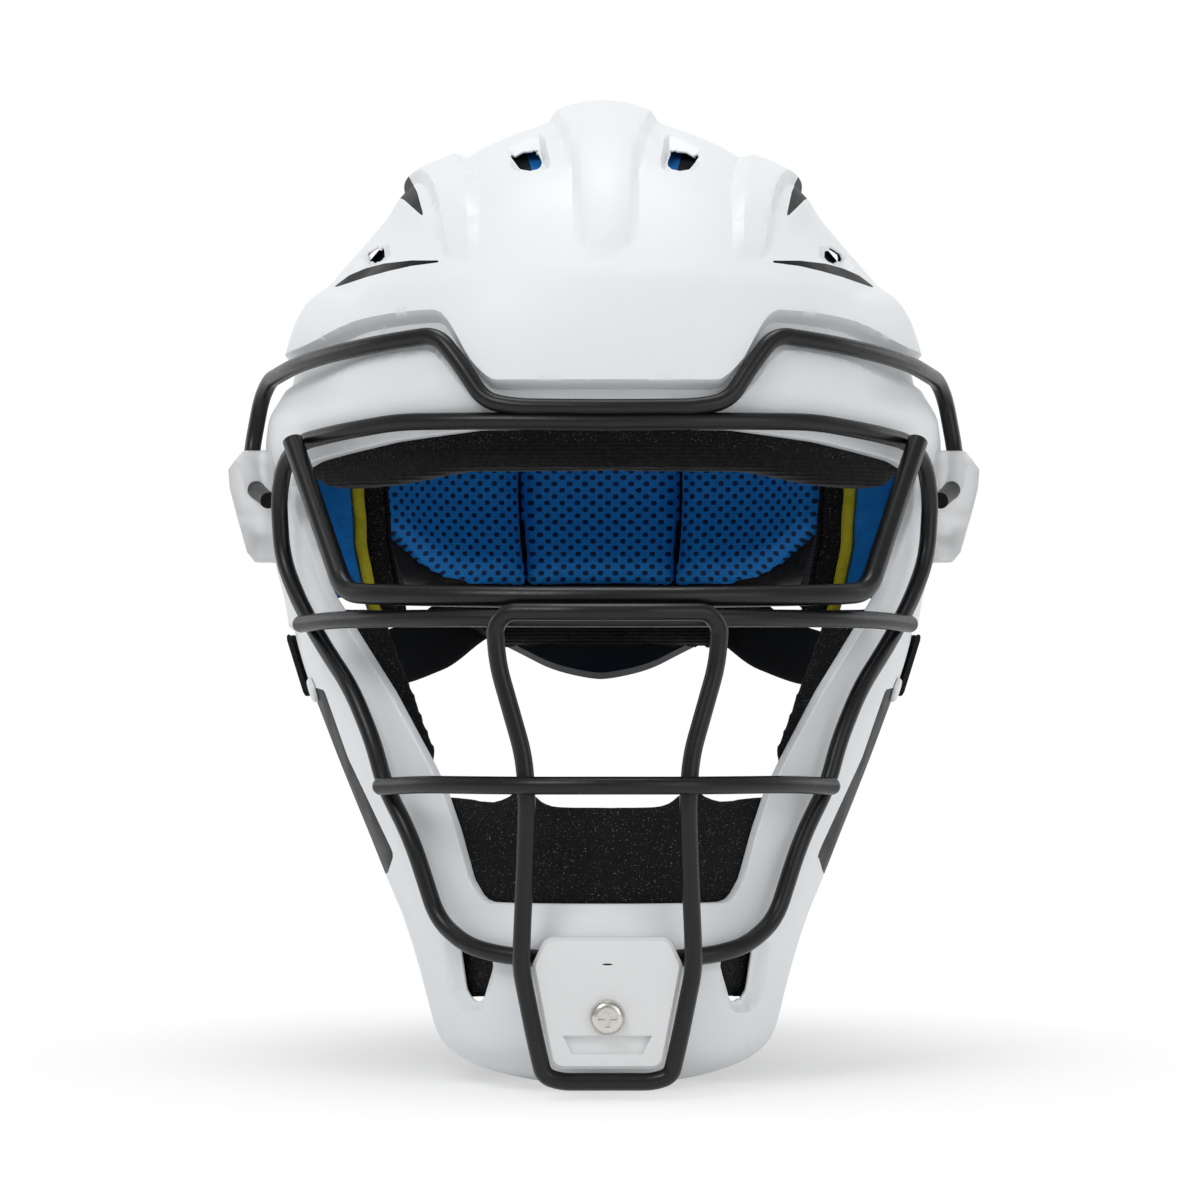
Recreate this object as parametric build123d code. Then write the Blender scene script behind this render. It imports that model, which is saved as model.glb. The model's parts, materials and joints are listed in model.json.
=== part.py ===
"""Baseball catcher helmet: moulded shell, wire face cage, foam liner and a floating back plate.

Millimetres, +Z up. The wearer looks along -Y, and X runs across the helmet.
"""
import math
import os
from bisect import bisect_right

from build123d import *

# Shell, the driving sizes
shell_height = 315.0
shell_half_width = 110.0
shell_half_length = 130.0
shell_wall = 3.6
skin_rows, skin_columns = 54, 46
skin_tolerance = 1.2
fit_tolerance = 0.15
loose_tolerance = 0.4
strap_tolerance = 0.8
overrun = 60.0

# Raised forms on the shell
ridge_height = 4.0
ridge_slope = 9.0
brim_height = 4.5
brim_slope = 9.0
brim_fade = 42.0

# Cage
cage_wire = 5.3
eye_bar_wire = 6.4
cage_gap = 1.2
brow_side_gap = 3.4
brow_front_gap = 2.2
weld_bite = 0.5

# Side clips and their screws
clip_corner = 5.0
clip_groove_gap = 0.25
clip_land = 5.5
nut_gap = 1.7
screw_shank = 4.6
screw_head = 10.6
screw_head_height = 3.0
screw_recess = 1.4
screw_recess_width = 5.8
screw_slot = 1.3
screw_head_gap = 0.4
head_round_share = 0.8
bore_gap = 0.2
tee_nut_plate = 12.0
tee_nut_plate_wall = 1.5

# Chin clip
chin_clip_side_gap = 0.6
chin_clip_foot_gap = 1.25
chin_clip_over = 5.6
chin_clip_top_share = 0.168
chin_clip_thickness = 7.5
chin_clip_corner = 4.0
chin_screw_up = 15.5
chin_pocket_wall = 3.2
chin_pocket_height = 5.5
chin_pocket_depth = 2.0
chin_pocket_up = 4.5

# Foam and fabric
liner_gap = 0.9
soft_gap = 0.3
crown_foam_wall = 12.0
crown_pad_wall = 6.0
brow_pad_wall = 17.0
side_foam_wall = 15.5
side_middle_wall = 3.6
side_inner_wall = 7.0
side_lining_wall = 1.0
jaw_pad_wall = 11.0
chin_pad_wall = 12.0
back_foam_wall = 9.0
mesh_wall = 7.0
mesh_channel = 3.0
pad_edge_share = 0.22
firm_rim_share = 0.8
soft_rim_share = 0.6

# Back plate, its pad and straps
plate_gap = 3.0
plate_wall = 3.0
plate_pad_wall = 8.0
strap_width = 22.0
strap_wall = 2.2
strap_rows = 16
strap_lift = 0.7
patch_wall = 1.2
patch_inset = 1.0
rivet_head = 8.0
rivet_head_height = 1.6
rivet_tail = 5.4
rivet_shank = 3.4

# Height share of the shell: share of its half width there
width_shares = [
    (-0.1, 0.40), (0.0, 0.455), (0.05, 0.485), (0.10, 0.52), (0.16, 0.575), (0.20, 0.625),
    (0.24, 0.675), (0.29, 0.74), (0.35, 0.815), (0.41, 0.885), (0.476, 0.94), (0.53, 0.98),
    (0.60, 1.0), (0.66, 0.985), (0.70, 0.945), (0.76, 0.925), (1.0, 0.90),
]
# Height share: how far forward the front lies, in shares of the half length
front_shares = [
    (-0.1, -1.03), (0.0, -1.07), (0.05, -1.11), (0.12, -1.135), (0.2, -1.13), (0.3, -1.10),
    (0.5, -1.0), (0.65, -0.94), (0.75, -0.92), (1.0, -0.9),
]
# Height share: how far back the rear lies, in shares of the half length
rear_shares = [
    (-0.1, -0.2), (0.0, -0.1), (0.1, 0.05), (0.2, 0.2), (0.3, 0.5), (0.4, 0.8),
    (0.5, 0.95), (0.6, 1.0), (0.7, 1.0), (1.0, 0.95),
]
dome_spring_share = 0.70
chin_spring_share = 0.07
plan_power = 2.35
dome_side_power = 1.62
dome_front_power = 2.2
chin_power = 3.4

# Length share: half width of the crown ridge, and the middle and half width of each side ridge
crown_ridge_half_shares = [(-0.95, 0.07), (-0.7, 0.085), (-0.2, 0.15), (0.3, 0.16), (1.0, 0.12)]
side_ridge_middle_shares = [(-0.9, 0.38), (-0.7, 0.41), (-0.3, 0.48), (0.0, 0.52), (0.5, 0.50), (1.0, 0.42)]
side_ridge_half_shares = [(-0.9, 0.03), (-0.7, 0.045), (-0.3, 0.06), (0.0, 0.075), (0.5, 0.07), (1.0, 0.05)]
ridge_foot_share, ridge_full_share = 0.755, 0.825
# Width share: height share of the brim's lower edge
brim_low_shares = [
    (0.0, 0.683), (0.30, 0.683), (0.36, 0.700), (0.46, 0.750), (0.66, 0.745), (0.88, 0.715), (1.0, 0.700),
]
brim_front_share, brim_back_share = -0.2, 0.2

# Fan of section planes that the shell is drawn on, turning about a line across the helmet
fan_y_share = 0.345
fan_z_share = 0.355
fan_start_angle, fan_end_angle, fan_angle = -38.0, 162.0, 72.5
dome_y_share = 0.04
dome_z_share = 0.675

# Half outline of the face opening: shares of half width and of height
opening_shares = [
    (0.334, 0.641), (0.564, 0.631), (0.778, 0.615), (0.841, 0.602), (0.815, 0.557),
    (0.736, 0.487), (0.687, 0.451), (0.564, 0.387), (0.469, 0.323), (0.433, 0.292),
    (0.400, 0.254), (0.363, 0.208), (0.325, 0.186),
]
opening_corner_shares = [0.15, 0.10, 0.03, 0.05, 0.25, 0.20, 0.15, 0.25, 0.18, 0.12, 0.25, 0.07, 0.05]

# Side outline of the neck opening, front to back: shares of half length and of height
neck_shares = [
    (-0.91, -0.16), (-0.85, -0.02), (-0.74, 0.045), (-0.48, 0.17), (-0.31, 0.30), (-0.14, 0.397),
    (0.03, 0.448), (0.215, 0.476), (0.46, 0.488), (0.73, 0.500), (0.92, 0.525), (1.3, 0.540),
    (1.3, -0.16),
]

# Vents: shares of half width and of height, seen from the front
top_vent_shares = [(0.158, 0.908), (0.176, 0.935), (0.262, 0.928), (0.272, 0.903)]
side_vent_shares = [(0.618, 0.832), (0.640, 0.847), (0.722, 0.828), (0.728, 0.812), (0.700, 0.806)]
chin_vent_shares = [(0.405, 0.145), (0.315, 0.128), (0.318, 0.120), (0.352, 0.085), (0.375, 0.087),
                    (0.385, 0.105)]

# Cage: shares of half width, half length and height
brow_end_shares = [(0.970, -0.432, 0.5765)]
brow_side_shares = [(-0.270, 0.592), (-0.165, 0.622), (-0.160, 0.676), (-0.225, 0.697)]
brow_front_shares = [
    (0.845, 0.709), (0.745, 0.716), (0.595, 0.724), (0.450, 0.730), (0.395, 0.706), (0.325, 0.666),
    (0.240, 0.660), (0.0, 0.659),
]
loop_shares = [
    (0.0, 0.645), (0.300, 0.647), (0.560, 0.6475), (0.725, 0.639), (0.835, 0.6315), (0.885, 0.612),
    (0.903, 0.578), (0.892, 0.520), (0.842, 0.478), (0.772, 0.436), (0.680, 0.390), (0.618, 0.339),
    (0.585, 0.298), (0.509, 0.248), (0.436, 0.172), (0.360, 0.149), (0.278, 0.141), (0.0, 0.1325),
]
eye_bar_shares = [
    (0.725, -0.885, 0.484), (0.640, -0.962, 0.4815), (0.440, -1.080, 0.480), (0.220, -1.145, 0.479),
    (0.0, -1.166, 0.479),
]
eye_bar_end_share = (0.815, 0.630)
mid_bar_shares = [
    (0.770, -0.812, 0.4565), (0.640, -0.955, 0.458), (0.440, -1.095, 0.459), (0.220, -1.180, 0.459),
    (0.0, -1.205, 0.459),
]
mid_bar_end_share = (0.790, 0.4545)
# The centre loop and the lower bar, which lie one and two wires ahead of these places
centre_loop_shares = [
    (0.120, -1.199, 0.465), (0.270, -1.159, 0.465), (0.304, -1.145, 0.452), (0.295, -1.143, 0.415),
    (0.225, -1.171, 0.330), (0.216, -1.181, 0.290), (0.221, -1.163, 0.230), (0.230, -1.153, 0.160),
    (0.233, -1.151, 0.130), (0.196, -1.143, 0.065), (0.172, -1.133, 0.028), (0.122, -1.131, 0.0225),
]
lower_bar_shares = [
    (0.500, -1.001, 0.301), (0.380, -1.096, 0.302), (0.215, -1.189, 0.303), (0.0, -1.216, 0.3035),
]
lower_bar_end_share = (0.560, 0.299)
bend_share = 0.45

# Side clip, seen from the side: shares of half length and of height
clip_shares = [
    (-0.315, 0.628), (-0.080, 0.632), (-0.020, 0.610), (-0.030, 0.555), (-0.130, 0.512), (-0.250, 0.514),
    (-0.330, 0.560),
]
clip_screw_share = (-0.150, 0.548)
# The same clip seen from the front: shares of half width and of height
clip_rise_shares = [
    (0.50, 0.510), (1.023, 0.515), (1.045, 0.525), (1.064, 0.554), (1.091, 0.590), (1.0955, 0.609),
    (1.059, 0.627), (1.032, 0.634), (0.50, 0.634),
]
clip_wire_span_shares = (0.42, 0.72)

# Foam: the spans that each pad covers
crown_foam_angle = 78.0
crown_pad_angle = 48.0
brow_pad_angle = 71.0
brow_low_shares = [(0.0, 0.608), (0.35, 0.606), (0.62, 0.594), (0.82, 0.590), (0.95, 0.598), (1.0, 0.612)]
brow_top_shares = [(0.0, 0.700), (0.6, 0.690), (1.0, 0.640)]
side_foam_length_shares = (-0.335, 0.45)
side_foam_height_shares = (0.492, 0.655)
jaw_pad_height_shares = (0.315, 0.462)
jaw_front_shares = [(0.315, -0.870), (0.38, -0.775), (0.42, -0.71), (0.462, -0.64)]
jaw_rear_shares = [(0.315, -0.34), (0.38, -0.30), (0.42, -0.27), (0.462, -0.22)]
chin_pad_angle = 40.0
chin_pad_low_shares = [(0.0, 0.112), (0.25, 0.112), (0.45, 0.088), (1.0, 0.086)]
chin_pad_top_shares = [(0.0, 0.283), (0.30, 0.286), (0.50, 0.300), (0.72, 0.290), (1.0, 0.270)]
back_foam_angle = 50.0
back_foam_height_shares = (0.600, 0.690)
mesh_angle = 50.0
mesh_seam_angle = 17.0
mesh_low_shares = [(0.0, 0.485), (0.45, 0.487), (0.65, 0.497), (0.85, 0.540), (1.0, 0.580)]
mesh_top_share = 0.700
plate_angle = 49.0
plate_low_shares = [(0.0, 0.372), (0.2, 0.379), (0.41, 0.402), (0.71, 0.447), (0.85, 0.485), (1.0, 0.522)]
plate_top_shares = [(0.0, 0.563), (0.7, 0.562), (1.0, 0.550)]
plate_pad_angle = 30.0
plate_pad_height_shares = (0.402, 0.468)
strap_angles = (30.0, 119.0)
strap_height_shares = [(30.0, 0.462), (60.0, 0.450), (90.0, 0.425), (119.0, 0.418)]
strap_plate_angle, strap_shell_angle = 40.0, 92.0
strap_patch_angles = (101.0, 117.0)
strap_rivet_angle = 34.0
top_strap_height_shares = (0.468, 0.668)
top_strap_shell_share, top_strap_plate_share = 0.522, 0.500
top_strap_patch_shares = (0.590, 0.655)
top_strap_rivet_share = 0.485
jaw_rivet_share = (-0.42, 0.386)


def smooth_curve(shares):
    """A curve that passes through pairs of shares without overshoot, held level past its ends."""
    places = [pair[0] for pair in shares]
    values = [pair[1] for pair in shares]
    runs = [after - before for before, after in zip(places, places[1:])]
    slopes = [(after - before) / run for before, after, run in zip(values, values[1:], runs)]
    tangents = [slopes[0]]
    for before, after in zip(slopes, slopes[1:]):
        same_way = before * after > 0
        tangents.append(2 * before * after / (before + after) if same_way else 0)
    tangents.append(slopes[-1])

    def value(place):
        place = min(max(place, places[0]), places[-1])
        i = min(bisect_right(places, place) - 1, len(runs) - 1)
        t = (place - places[i]) / runs[i]
        blend = t * t * (3 - 2 * t)
        bend = t * (1 - t) * ((1 - t) * tangents[i] - t * tangents[i + 1])
        return values[i] * (1 - blend) + values[i + 1] * blend + runs[i] * bend

    return value


crown_ridge_half = smooth_curve(crown_ridge_half_shares)
side_ridge_middle = smooth_curve(side_ridge_middle_shares)
side_ridge_half = smooth_curve(side_ridge_half_shares)
brim_low = smooth_curve(brim_low_shares)
width_at = smooth_curve(width_shares)
front_at = smooth_curve(front_shares)
rear_at = smooth_curve(rear_shares)
dome_spring = dome_spring_share * shell_height
dome_top = shell_height - ridge_height


def level(x, y, z):
    """Under 1 inside the shell's outer form, 1 on it and over 1 outside."""
    share = z / shell_height
    front = shell_half_length * front_at(share)
    rear = shell_half_length * rear_at(share)
    across = (abs(x) / (shell_half_width * width_at(share))) ** plan_power
    along = (abs(2 * y - front - rear) / (rear - front)) ** plan_power
    plan = (across + along) ** (1 / plan_power)
    lean = along / (across + along) if across + along > 0 else 0
    power = dome_side_power + (dome_front_power - dome_side_power) * lean
    top = max(0, (z - dome_spring) / (dome_top - dome_spring))
    low = max(0, (chin_spring_share - share) / chin_spring_share)
    return plan ** power + top ** 2 + low ** chin_power


def cast(origin, direction):
    """Where a ray from inside the shell meets its outer form, and the outward normal there."""
    near, far = 0, 2 * shell_height
    for _ in range(26):
        middle = (near + far) / 2
        inside = level(*(o + middle * d for o, d in zip(origin, direction))) < 1
        near, far = (middle, far) if inside else (near, middle)
    point = Vector(*(o + near * d for o, d in zip(origin, direction)))
    step = shell_wall / 10
    slope = []
    for axis in (Vector(step, 0, 0), Vector(0, step, 0), Vector(0, 0, step)):
        slope.append(level(*(point + axis)) - level(*(point - axis)))
    return point, Vector(*slope).normalized()


def fan_ray(turn, lean):
    """A ray of the fan: turn 0 looks forward, 90 up and 180 back; lean is towards +X."""
    turn, lean = math.radians(turn), math.radians(lean)
    centre = (0, fan_y_share * shell_half_length, fan_z_share * shell_height)
    return centre, (math.sin(lean), -math.cos(lean) * math.cos(turn), math.cos(lean) * math.sin(turn))


def level_ray(turn, height_share, backwards=False):
    """A level ray from the middle plane: turn 0 looks forward or back, 90 towards +X."""
    turn = math.radians(turn)
    sign = 1 if backwards else -1
    origin = (0, fan_y_share * shell_half_length / 2 * sign, height_share * shell_height)
    return origin, (math.sin(turn), sign * math.cos(turn), 0)


def side_ray(side, length_share, height_share):
    """A ray straight out to one side, at a place given along and up the helmet."""
    return (0, length_share * shell_half_length, height_share * shell_height), (side, 0, 0)


def spread(start, end, count):
    """Evenly spaced values from start to end."""
    return [start + (end - start) * i / (count - 1) for i in range(count)]


def ramp(value):
    """0 below 0, 1 above 1 and a smooth rise between."""
    value = min(max(value, 0), 1)
    return value * value * (3 - 2 * value)


def relief(point):
    """How far the shell's ridges and brim stand out at a point of its outer form."""
    x, y = abs(point.X) / shell_half_width, point.Y / shell_half_length
    slope = ridge_slope / shell_half_width
    up = ramp((point.Z / shell_height - ridge_foot_share) / (ridge_full_share - ridge_foot_share))
    middle = ramp((crown_ridge_half(y) - x) / slope + 1 / 2)
    side = ramp((side_ridge_half(y) - abs(x - side_ridge_middle(y))) / slope + 1 / 2)
    above = point.Z - brim_low(x) * shell_height
    forward = 1 - ramp((y - brim_front_share) / (brim_back_share - brim_front_share))
    swell = ramp(above / brim_slope + 1 / 2) * (1 - ramp((above - brim_slope) / brim_fade)) * forward
    return max(ridge_height * up * max(middle, side), brim_height * swell)


def skin(rays, offset, tolerance=fit_tolerance):
    """A face that lies off the shell's outer form: offset takes two shares and the point."""
    rows, columns = len(rays), len(rays[0])
    grid = []
    for i, row in enumerate(rays):
        line = []
        for j, ray in enumerate(row):
            point, normal = cast(*ray)
            line.append(point + normal * offset(i / (rows - 1), j / (columns - 1), point))
        grid.append(line)
    return Face.make_surface_from_array_of_points(grid, tol=tolerance)


def closed(outer, inner):
    """The solid between two faces whose edges run alike."""
    sides = []
    for edge in outer.edges():
        partner = min(inner.edges(), key=lambda other: (other.center() - edge.center()).length)
        sides.append(Face.make_surface_from_curves(edge, partner))
    return Solid(Shell([outer, inner, *sides]))


def layer(rays, outside, inside, tolerance=fit_tolerance):
    """A closed sheet between two offsets, outward positive, of the shell's outer form."""
    return closed(skin(rays, outside, tolerance), skin(rays, inside, tolerance))


def crown(t, s):
    """1 over the middle of a pad, falling towards its four edges."""
    reach = min(t, 1 - t, s, 1 - s) / pad_edge_share
    return 1 if reach >= 1 else 1 - (1 - reach) ** 2


def pad(rays, depth, wall, rim_share=soft_rim_share):
    """A cushion under the shell: its back follows the shell, its face is crowned."""
    return layer(
        rays,
        lambda t, s, p: -depth,
        lambda t, s, p: -depth - wall * (rim_share + (1 - rim_share) * crown(t, s)),
    )


def mirrored(shape):
    """The same piece on the other side of the helmet."""
    return mirror(shape, about=Plane.YZ)


def bent_path(points, closed=False):
    """Straight runs joined by arcs, each as large as its runs allow."""
    count = len(points)
    radii = []
    for i in range(count) if closed else range(1, count - 1):
        before = points[i] - points[i - 1]
        after = points[(i + 1) % count] - points[i]
        turn = math.radians(before.get_angle(after))
        radii.append(bend_share * min(before.length, after.length) / math.tan(turn / 2))
    return FilletPolyline(*points, radius=radii, close=closed)


def rod(path, diameter):
    """A round rod along a path."""
    section = Plane(origin=path @ 0, z_dir=path % 0) * Circle(diameter / 2)
    return sweep(section, path=path)


def placed(shares, wires_ahead=0):
    """Points from shares of half width, half length and height, some crossed wires further ahead."""
    ahead = wires_ahead * (cage_wire - weld_bite)
    return [Vector(x * shell_half_width, y * shell_half_length - ahead, z * shell_height) for x, y, z in shares]


def both_sides(points):
    """A run of points from one end to the middle plane, carried on to the other end."""
    return points + [Vector(-point.X, point.Y, point.Z) for point in reversed(points[:-1])]


def front_point(x_share, z_share, stand_off):
    """A point ahead of the shell's front, at a given distance from it."""
    origin = (x_share * shell_half_width, fan_y_share * shell_half_length, z_share * shell_height)
    point, normal = cast(origin, (0, -1, 0))
    return point + normal * stand_off


def outline(shares, plane, scale_a, scale_b):
    """A flat face from a closed list of shares."""
    points = [(a * scale_a, b * scale_b) for a, b in shares]
    return make_face(plane * Polyline(*points, close=True))


def prism(face, direction, amount):
    """A flat face drawn out along a direction."""
    face = face.faces()[0]
    facing = face.normal_at().dot(Vector(*direction)) > 0
    return Solid.extrude(face if facing else -face, Vector(*direction) * amount)


def fan_grid(rows, columns):
    """The fan's rays over the whole shell."""
    leans = spread(-fan_angle, fan_angle, columns)
    return [[fan_ray(turn, lean) for lean in leans] for turn in spread(fan_start_angle, fan_end_angle, rows)]


def moulded_shell():
    """The moulded shell: ridged outside, plain inside, then opened for face, neck and vents."""
    outer = skin(fan_grid(skin_rows, skin_columns), lambda t, s, p: relief(p), skin_tolerance)
    inner = skin(fan_grid(skin_rows, skin_columns), lambda t, s, p: -shell_wall, skin_tolerance)
    shell = closed(outer, inner)
    for cutter in shell_cutters():
        shell = shell.cut(cutter)
    return shell.solids().sort_by(SortBy.VOLUME)[-1]


def drilled(shell):
    """The shell with the bores for the clip screws and the jaw rivets."""
    bores = [chin_bore(screw_shank + 2 * bore_gap)]
    for bore in (side_bore(screw_shank + 2 * bore_gap), jaw_rivet_bore(rivet_shank + 2 * bore_gap)):
        bores += [bore, mirrored(bore)]
    return shell.cut(*bores)


def opening_outline():
    """The face opening as a closed, rounded wire seen from the front."""
    half = [(x * shell_half_width, z * shell_height) for x, z in opening_shares]
    radii = [share * shell_half_width for share in opening_corner_shares]
    points = half + [(-x, z) for x, z in reversed(half)]
    path = FilletPolyline(*points, radius=radii + radii[::-1], close=True)
    return make_face(Plane.XZ * path)


def shell_cutters():
    """Face opening, neck opening and vents."""
    reach = 2 * shell_half_length
    cutters = [prism(opening_outline(), (0, -1, 0), reach)]
    neck = outline(neck_shares, Plane.YZ, shell_half_length, shell_height)
    cutters.append(extrude(neck, amount=shell_half_width + overrun, both=True))
    for shares in (top_vent_shares, chin_vent_shares):
        vent = outline(shares, Plane.XZ, shell_half_width, shell_height)
        cutter = prism(vent, (0, -1, 0), reach)
        cutters += [cutter, mirrored(cutter)]
    rear_vent = outline(top_vent_shares, Plane.XZ, shell_half_width, shell_height)
    cutter = prism(rear_vent, (0, 1, 0), reach)
    cutters += [cutter, mirrored(cutter)]
    vent = outline(side_vent_shares, Plane.XZ, shell_half_width, shell_height)
    cutter = prism(vent, (0, -1, 0), reach)
    return cutters + [cutter, mirrored(cutter)]


def side_screw_seat():
    """Where the axis of the side clip's screw meets the shell."""
    point, _ = cast(*side_ray(1, *clip_screw_share))
    return point


def side_bore(diameter):
    seat = side_screw_seat()
    plane = Plane(origin=(seat.X, seat.Y, seat.Z), z_dir=(1, 0, 0))
    return extrude(plane * Circle(diameter / 2), amount=overrun / 2, both=True)


def beside_loop(height):
    """Half the room between the sides of the centre loop at a height, less the clip's gap."""
    sides = sorted((z, x) for x, y, z in centre_loop_shares[len(centre_loop_shares) // 2:])
    half = smooth_curve(sides)(height / shell_height) * shell_half_width
    return half - cage_wire / 2 - chin_clip_side_gap


def chin_clip_heights():
    """The foot of the chin clip just over the centre loop, its widest place at the loop wire, and its top."""
    foot = centre_loop_shares[-1][-1] * shell_height + cage_wire / 2 + chin_clip_foot_gap
    wire = loop_shares[-1][-1] * shell_height
    return foot, wire, wire + cage_wire / 2 + chin_clip_over


def chin_screw_height():
    foot, _, _ = chin_clip_heights()
    return foot + chin_screw_up


def chin_face():
    """How far forward the front of the chin clip lies."""
    point, _ = cast((0, 0, chin_screw_height()), (0, -1, 0))
    return point.Y - chin_clip_thickness


def chin_bore(diameter):
    plane = Plane(origin=(0, chin_face() - overrun, chin_screw_height()), z_dir=(0, 1, 0))
    return extrude(plane * Circle(diameter / 2), amount=2 * overrun)


def loop_points():
    """Half the wire round the face opening, top to bottom: it follows the shell at a steady gap."""
    stand_off = cage_gap + cage_wire / 2
    half = []
    for (x, z), (next_x, next_z) in zip(loop_shares, loop_shares[1:]):
        half.append(front_point(x, z, stand_off))
        wide = math.hypot((next_x - x) * shell_half_width, (next_z - z) * shell_height)
        steps = math.ceil(wide / (shell_half_width / 4))
        for i in range(1, steps):
            half.append(front_point(x + (next_x - x) * i / steps, z + (next_z - z) * i / steps, stand_off))
    half.append(front_point(*loop_shares[-1], stand_off))
    return half


def loop_path():
    half = loop_points()
    rest = [Vector(-p.X, p.Y, p.Z) for p in reversed(half[1:-1])]
    return bent_path(half[1:] + rest + half[:1], closed=True)


def groove(points, low, high):
    """The channel that a cage wire needs in a clip between two heights."""
    near = [point for point in points if low < point.Z < high]
    return rod(bent_path(near), cage_wire + 2 * clip_groove_gap)


def bar_end(share, bar_wire):
    """The end of a bar that lies ahead of the loop wire, welded to it."""
    return front_point(*share, cage_gap + cage_wire + bar_wire / 2 - weld_bite)


def bar(end_share, shares, diameter, wires_ahead=0):
    points = [bar_end(end_share, diameter)] + placed(shares, wires_ahead)
    return rod(bent_path(both_sides(points)), diameter)


def domed(wire, end_share, diameter):
    """A bar with its two ends rounded off."""
    end = bar_end(end_share, diameter)
    ball = Pos(*end) * Sphere(diameter / 2)
    return wire.fuse(ball, mirrored(ball))


def centre_loop():
    half = placed(centre_loop_shares, 1)
    rest = [Vector(-p.X, p.Y, p.Z) for p in reversed(half)]
    return rod(bent_path(half + rest, closed=True), cage_wire)


def brow_points():
    """Half the brow wire: its cut end lies against the loop wire and it leaves through the side clip."""
    points = placed(brow_end_shares)
    for share in brow_side_shares:
        point, normal = cast(*side_ray(1, *share))
        points.append(point + normal * (brow_side_gap + cage_wire / 2))
    points += [front_point(*share, brow_front_gap + cage_wire / 2) for share in brow_front_shares]
    return points


def brow_path():
    return bent_path(both_sides(brow_points()))


def side_clip(shell):
    """A moulded clip over the cage's side wires: seated on the shell, leaning in towards its foot."""
    side_view = outline(clip_shares, Plane.YZ, shell_half_length, shell_height)
    block = prism(side_view, (1, 0, 0), shell_half_width + overrun)
    block = fillet(block.edges().filter_by(Axis.X), clip_corner)
    front_view = outline(clip_rise_shares, Plane.XZ, shell_half_width, shell_height)
    block = block.intersect(extrude(front_view, amount=shell_half_length, both=True)).solids()[0]
    block = block.cut(shell).solids().sort_by(Axis.X)[-1]
    low, high = (share * shell_height for share in clip_wire_span_shares)
    for points in (loop_points(), brow_points()):
        block = block.cut(groove(points, low, high))
        block = block.solids().sort_by(SortBy.VOLUME)[-1]
    seat = side_screw_seat()
    land = Plane(origin=(seat.X + clip_land, seat.Y, seat.Z), z_dir=(1, 0, 0))
    counterbore = extrude(land * Circle(screw_head / 2 + screw_head_gap), amount=overrun)
    block = block.cut(counterbore, side_bore(screw_shank + 2 * bore_gap))
    return block.solids().sort_by(SortBy.VOLUME)[-1]


def screw(length):
    """A cross-recessed truss head screw: the head's underside is at the origin, the shank along +Z."""
    head = Cylinder(screw_head / 2, screw_head_height, align=(Align.CENTER, Align.CENTER, Align.MAX))
    head = fillet(head.faces().sort_by(Axis.Z)[0].edges(), screw_head_height * head_round_share)
    shank = Cylinder(screw_shank / 2, length, align=(Align.CENTER, Align.CENTER, Align.MIN))
    made = head + shank
    for turn in (0, 90):
        align = (Align.CENTER, Align.CENTER, Align.MIN)
        slot = Box(screw_recess_width, screw_slot, screw_recess, align=align)
        made = made - Pos(0, 0, -screw_head_height) * Rot(0, 0, turn) * slot
    return made


def tee_nut():
    """A thin round nut: its outer face is at the origin, and a screw comes in along -Z."""
    plate = Cylinder(tee_nut_plate / 2, tee_nut_plate_wall, align=(Align.CENTER, Align.CENTER, Align.MAX))
    return plate - Cylinder(screw_shank / 2 + bore_gap / 4, overrun)


def side_screw():
    seat = side_screw_seat()
    plane = Plane(origin=(seat.X + clip_land, seat.Y, seat.Z), z_dir=(-1, 0, 0))
    return plane * screw(clip_land + shell_wall + nut_gap + tee_nut_plate_wall)


def side_nut():
    seat = side_screw_seat()
    plane = Plane(origin=(seat.X - shell_wall - nut_gap, seat.Y, seat.Z), z_dir=(1, 0, 0))
    return plane * tee_nut()


def side_nut_pocket():
    """The room in the foam for the side clip's nut."""
    seat = side_screw_seat()
    plane = Plane(origin=(seat.X, seat.Y, seat.Z), z_dir=(-1, 0, 0))
    depth = shell_wall + nut_gap + tee_nut_plate_wall + soft_gap
    return Solid.extrude((plane * Circle(tee_nut_plate / 2 + soft_gap)).faces()[0], plane.z_dir * depth)


def chin_clip(shell):
    """The clip that holds the loop wire to the chin: seated on the shell, a pocket under its screw."""
    foot, widest, top = chin_clip_heights()
    half_foot, half_wide = beside_loop(foot), beside_loop(widest)
    half_top = chin_clip_top_share * shell_half_width
    points = [
        (half_foot, foot), (half_wide, widest), (half_top, top), (-half_top, top), (-half_wide, widest),
        (-half_foot, foot),
    ]
    plane = Plane(origin=(0, chin_face(), 0), x_dir=(1, 0, 0), z_dir=(0, -1, 0))
    block = prism(make_face(plane * Polyline(*points, close=True)), (0, 1, 0), overrun)
    upright = block.edges().filter_by(Axis.Y)
    block = fillet(upright, chin_clip_corner)
    front = block.faces().sort_by(Axis.Y)[0]
    block = chamfer(front.edges(), chin_clip_corner / 4)
    block = block.cut(shell).solids().sort_by(Axis.Y)[0]
    half = [point for point in loop_points() if point.X < 2 * half_wide and point.Z < 2 * widest]
    block = block.cut(rod(bent_path(both_sides(half)), cage_wire + 2 * clip_groove_gap))
    block = block.solids().sort_by(SortBy.VOLUME)[-1]
    pocket_low, pocket_half = foot + chin_pocket_up, half_foot - chin_pocket_wall
    pocket_top, half_low = pocket_low + chin_pocket_height, pocket_half - chin_pocket_height / 2
    pocket = [
        (pocket_half, pocket_top), (half_low, pocket_low), (-half_low, pocket_low), (-pocket_half, pocket_top),
    ]
    cutter = extrude(plane * make_face(Polyline(*pocket, close=True)), amount=-chin_pocket_depth)
    block = block.cut(cutter, chin_bore(screw_shank + 2 * bore_gap))
    return block.solids().sort_by(SortBy.VOLUME)[-1]


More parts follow.
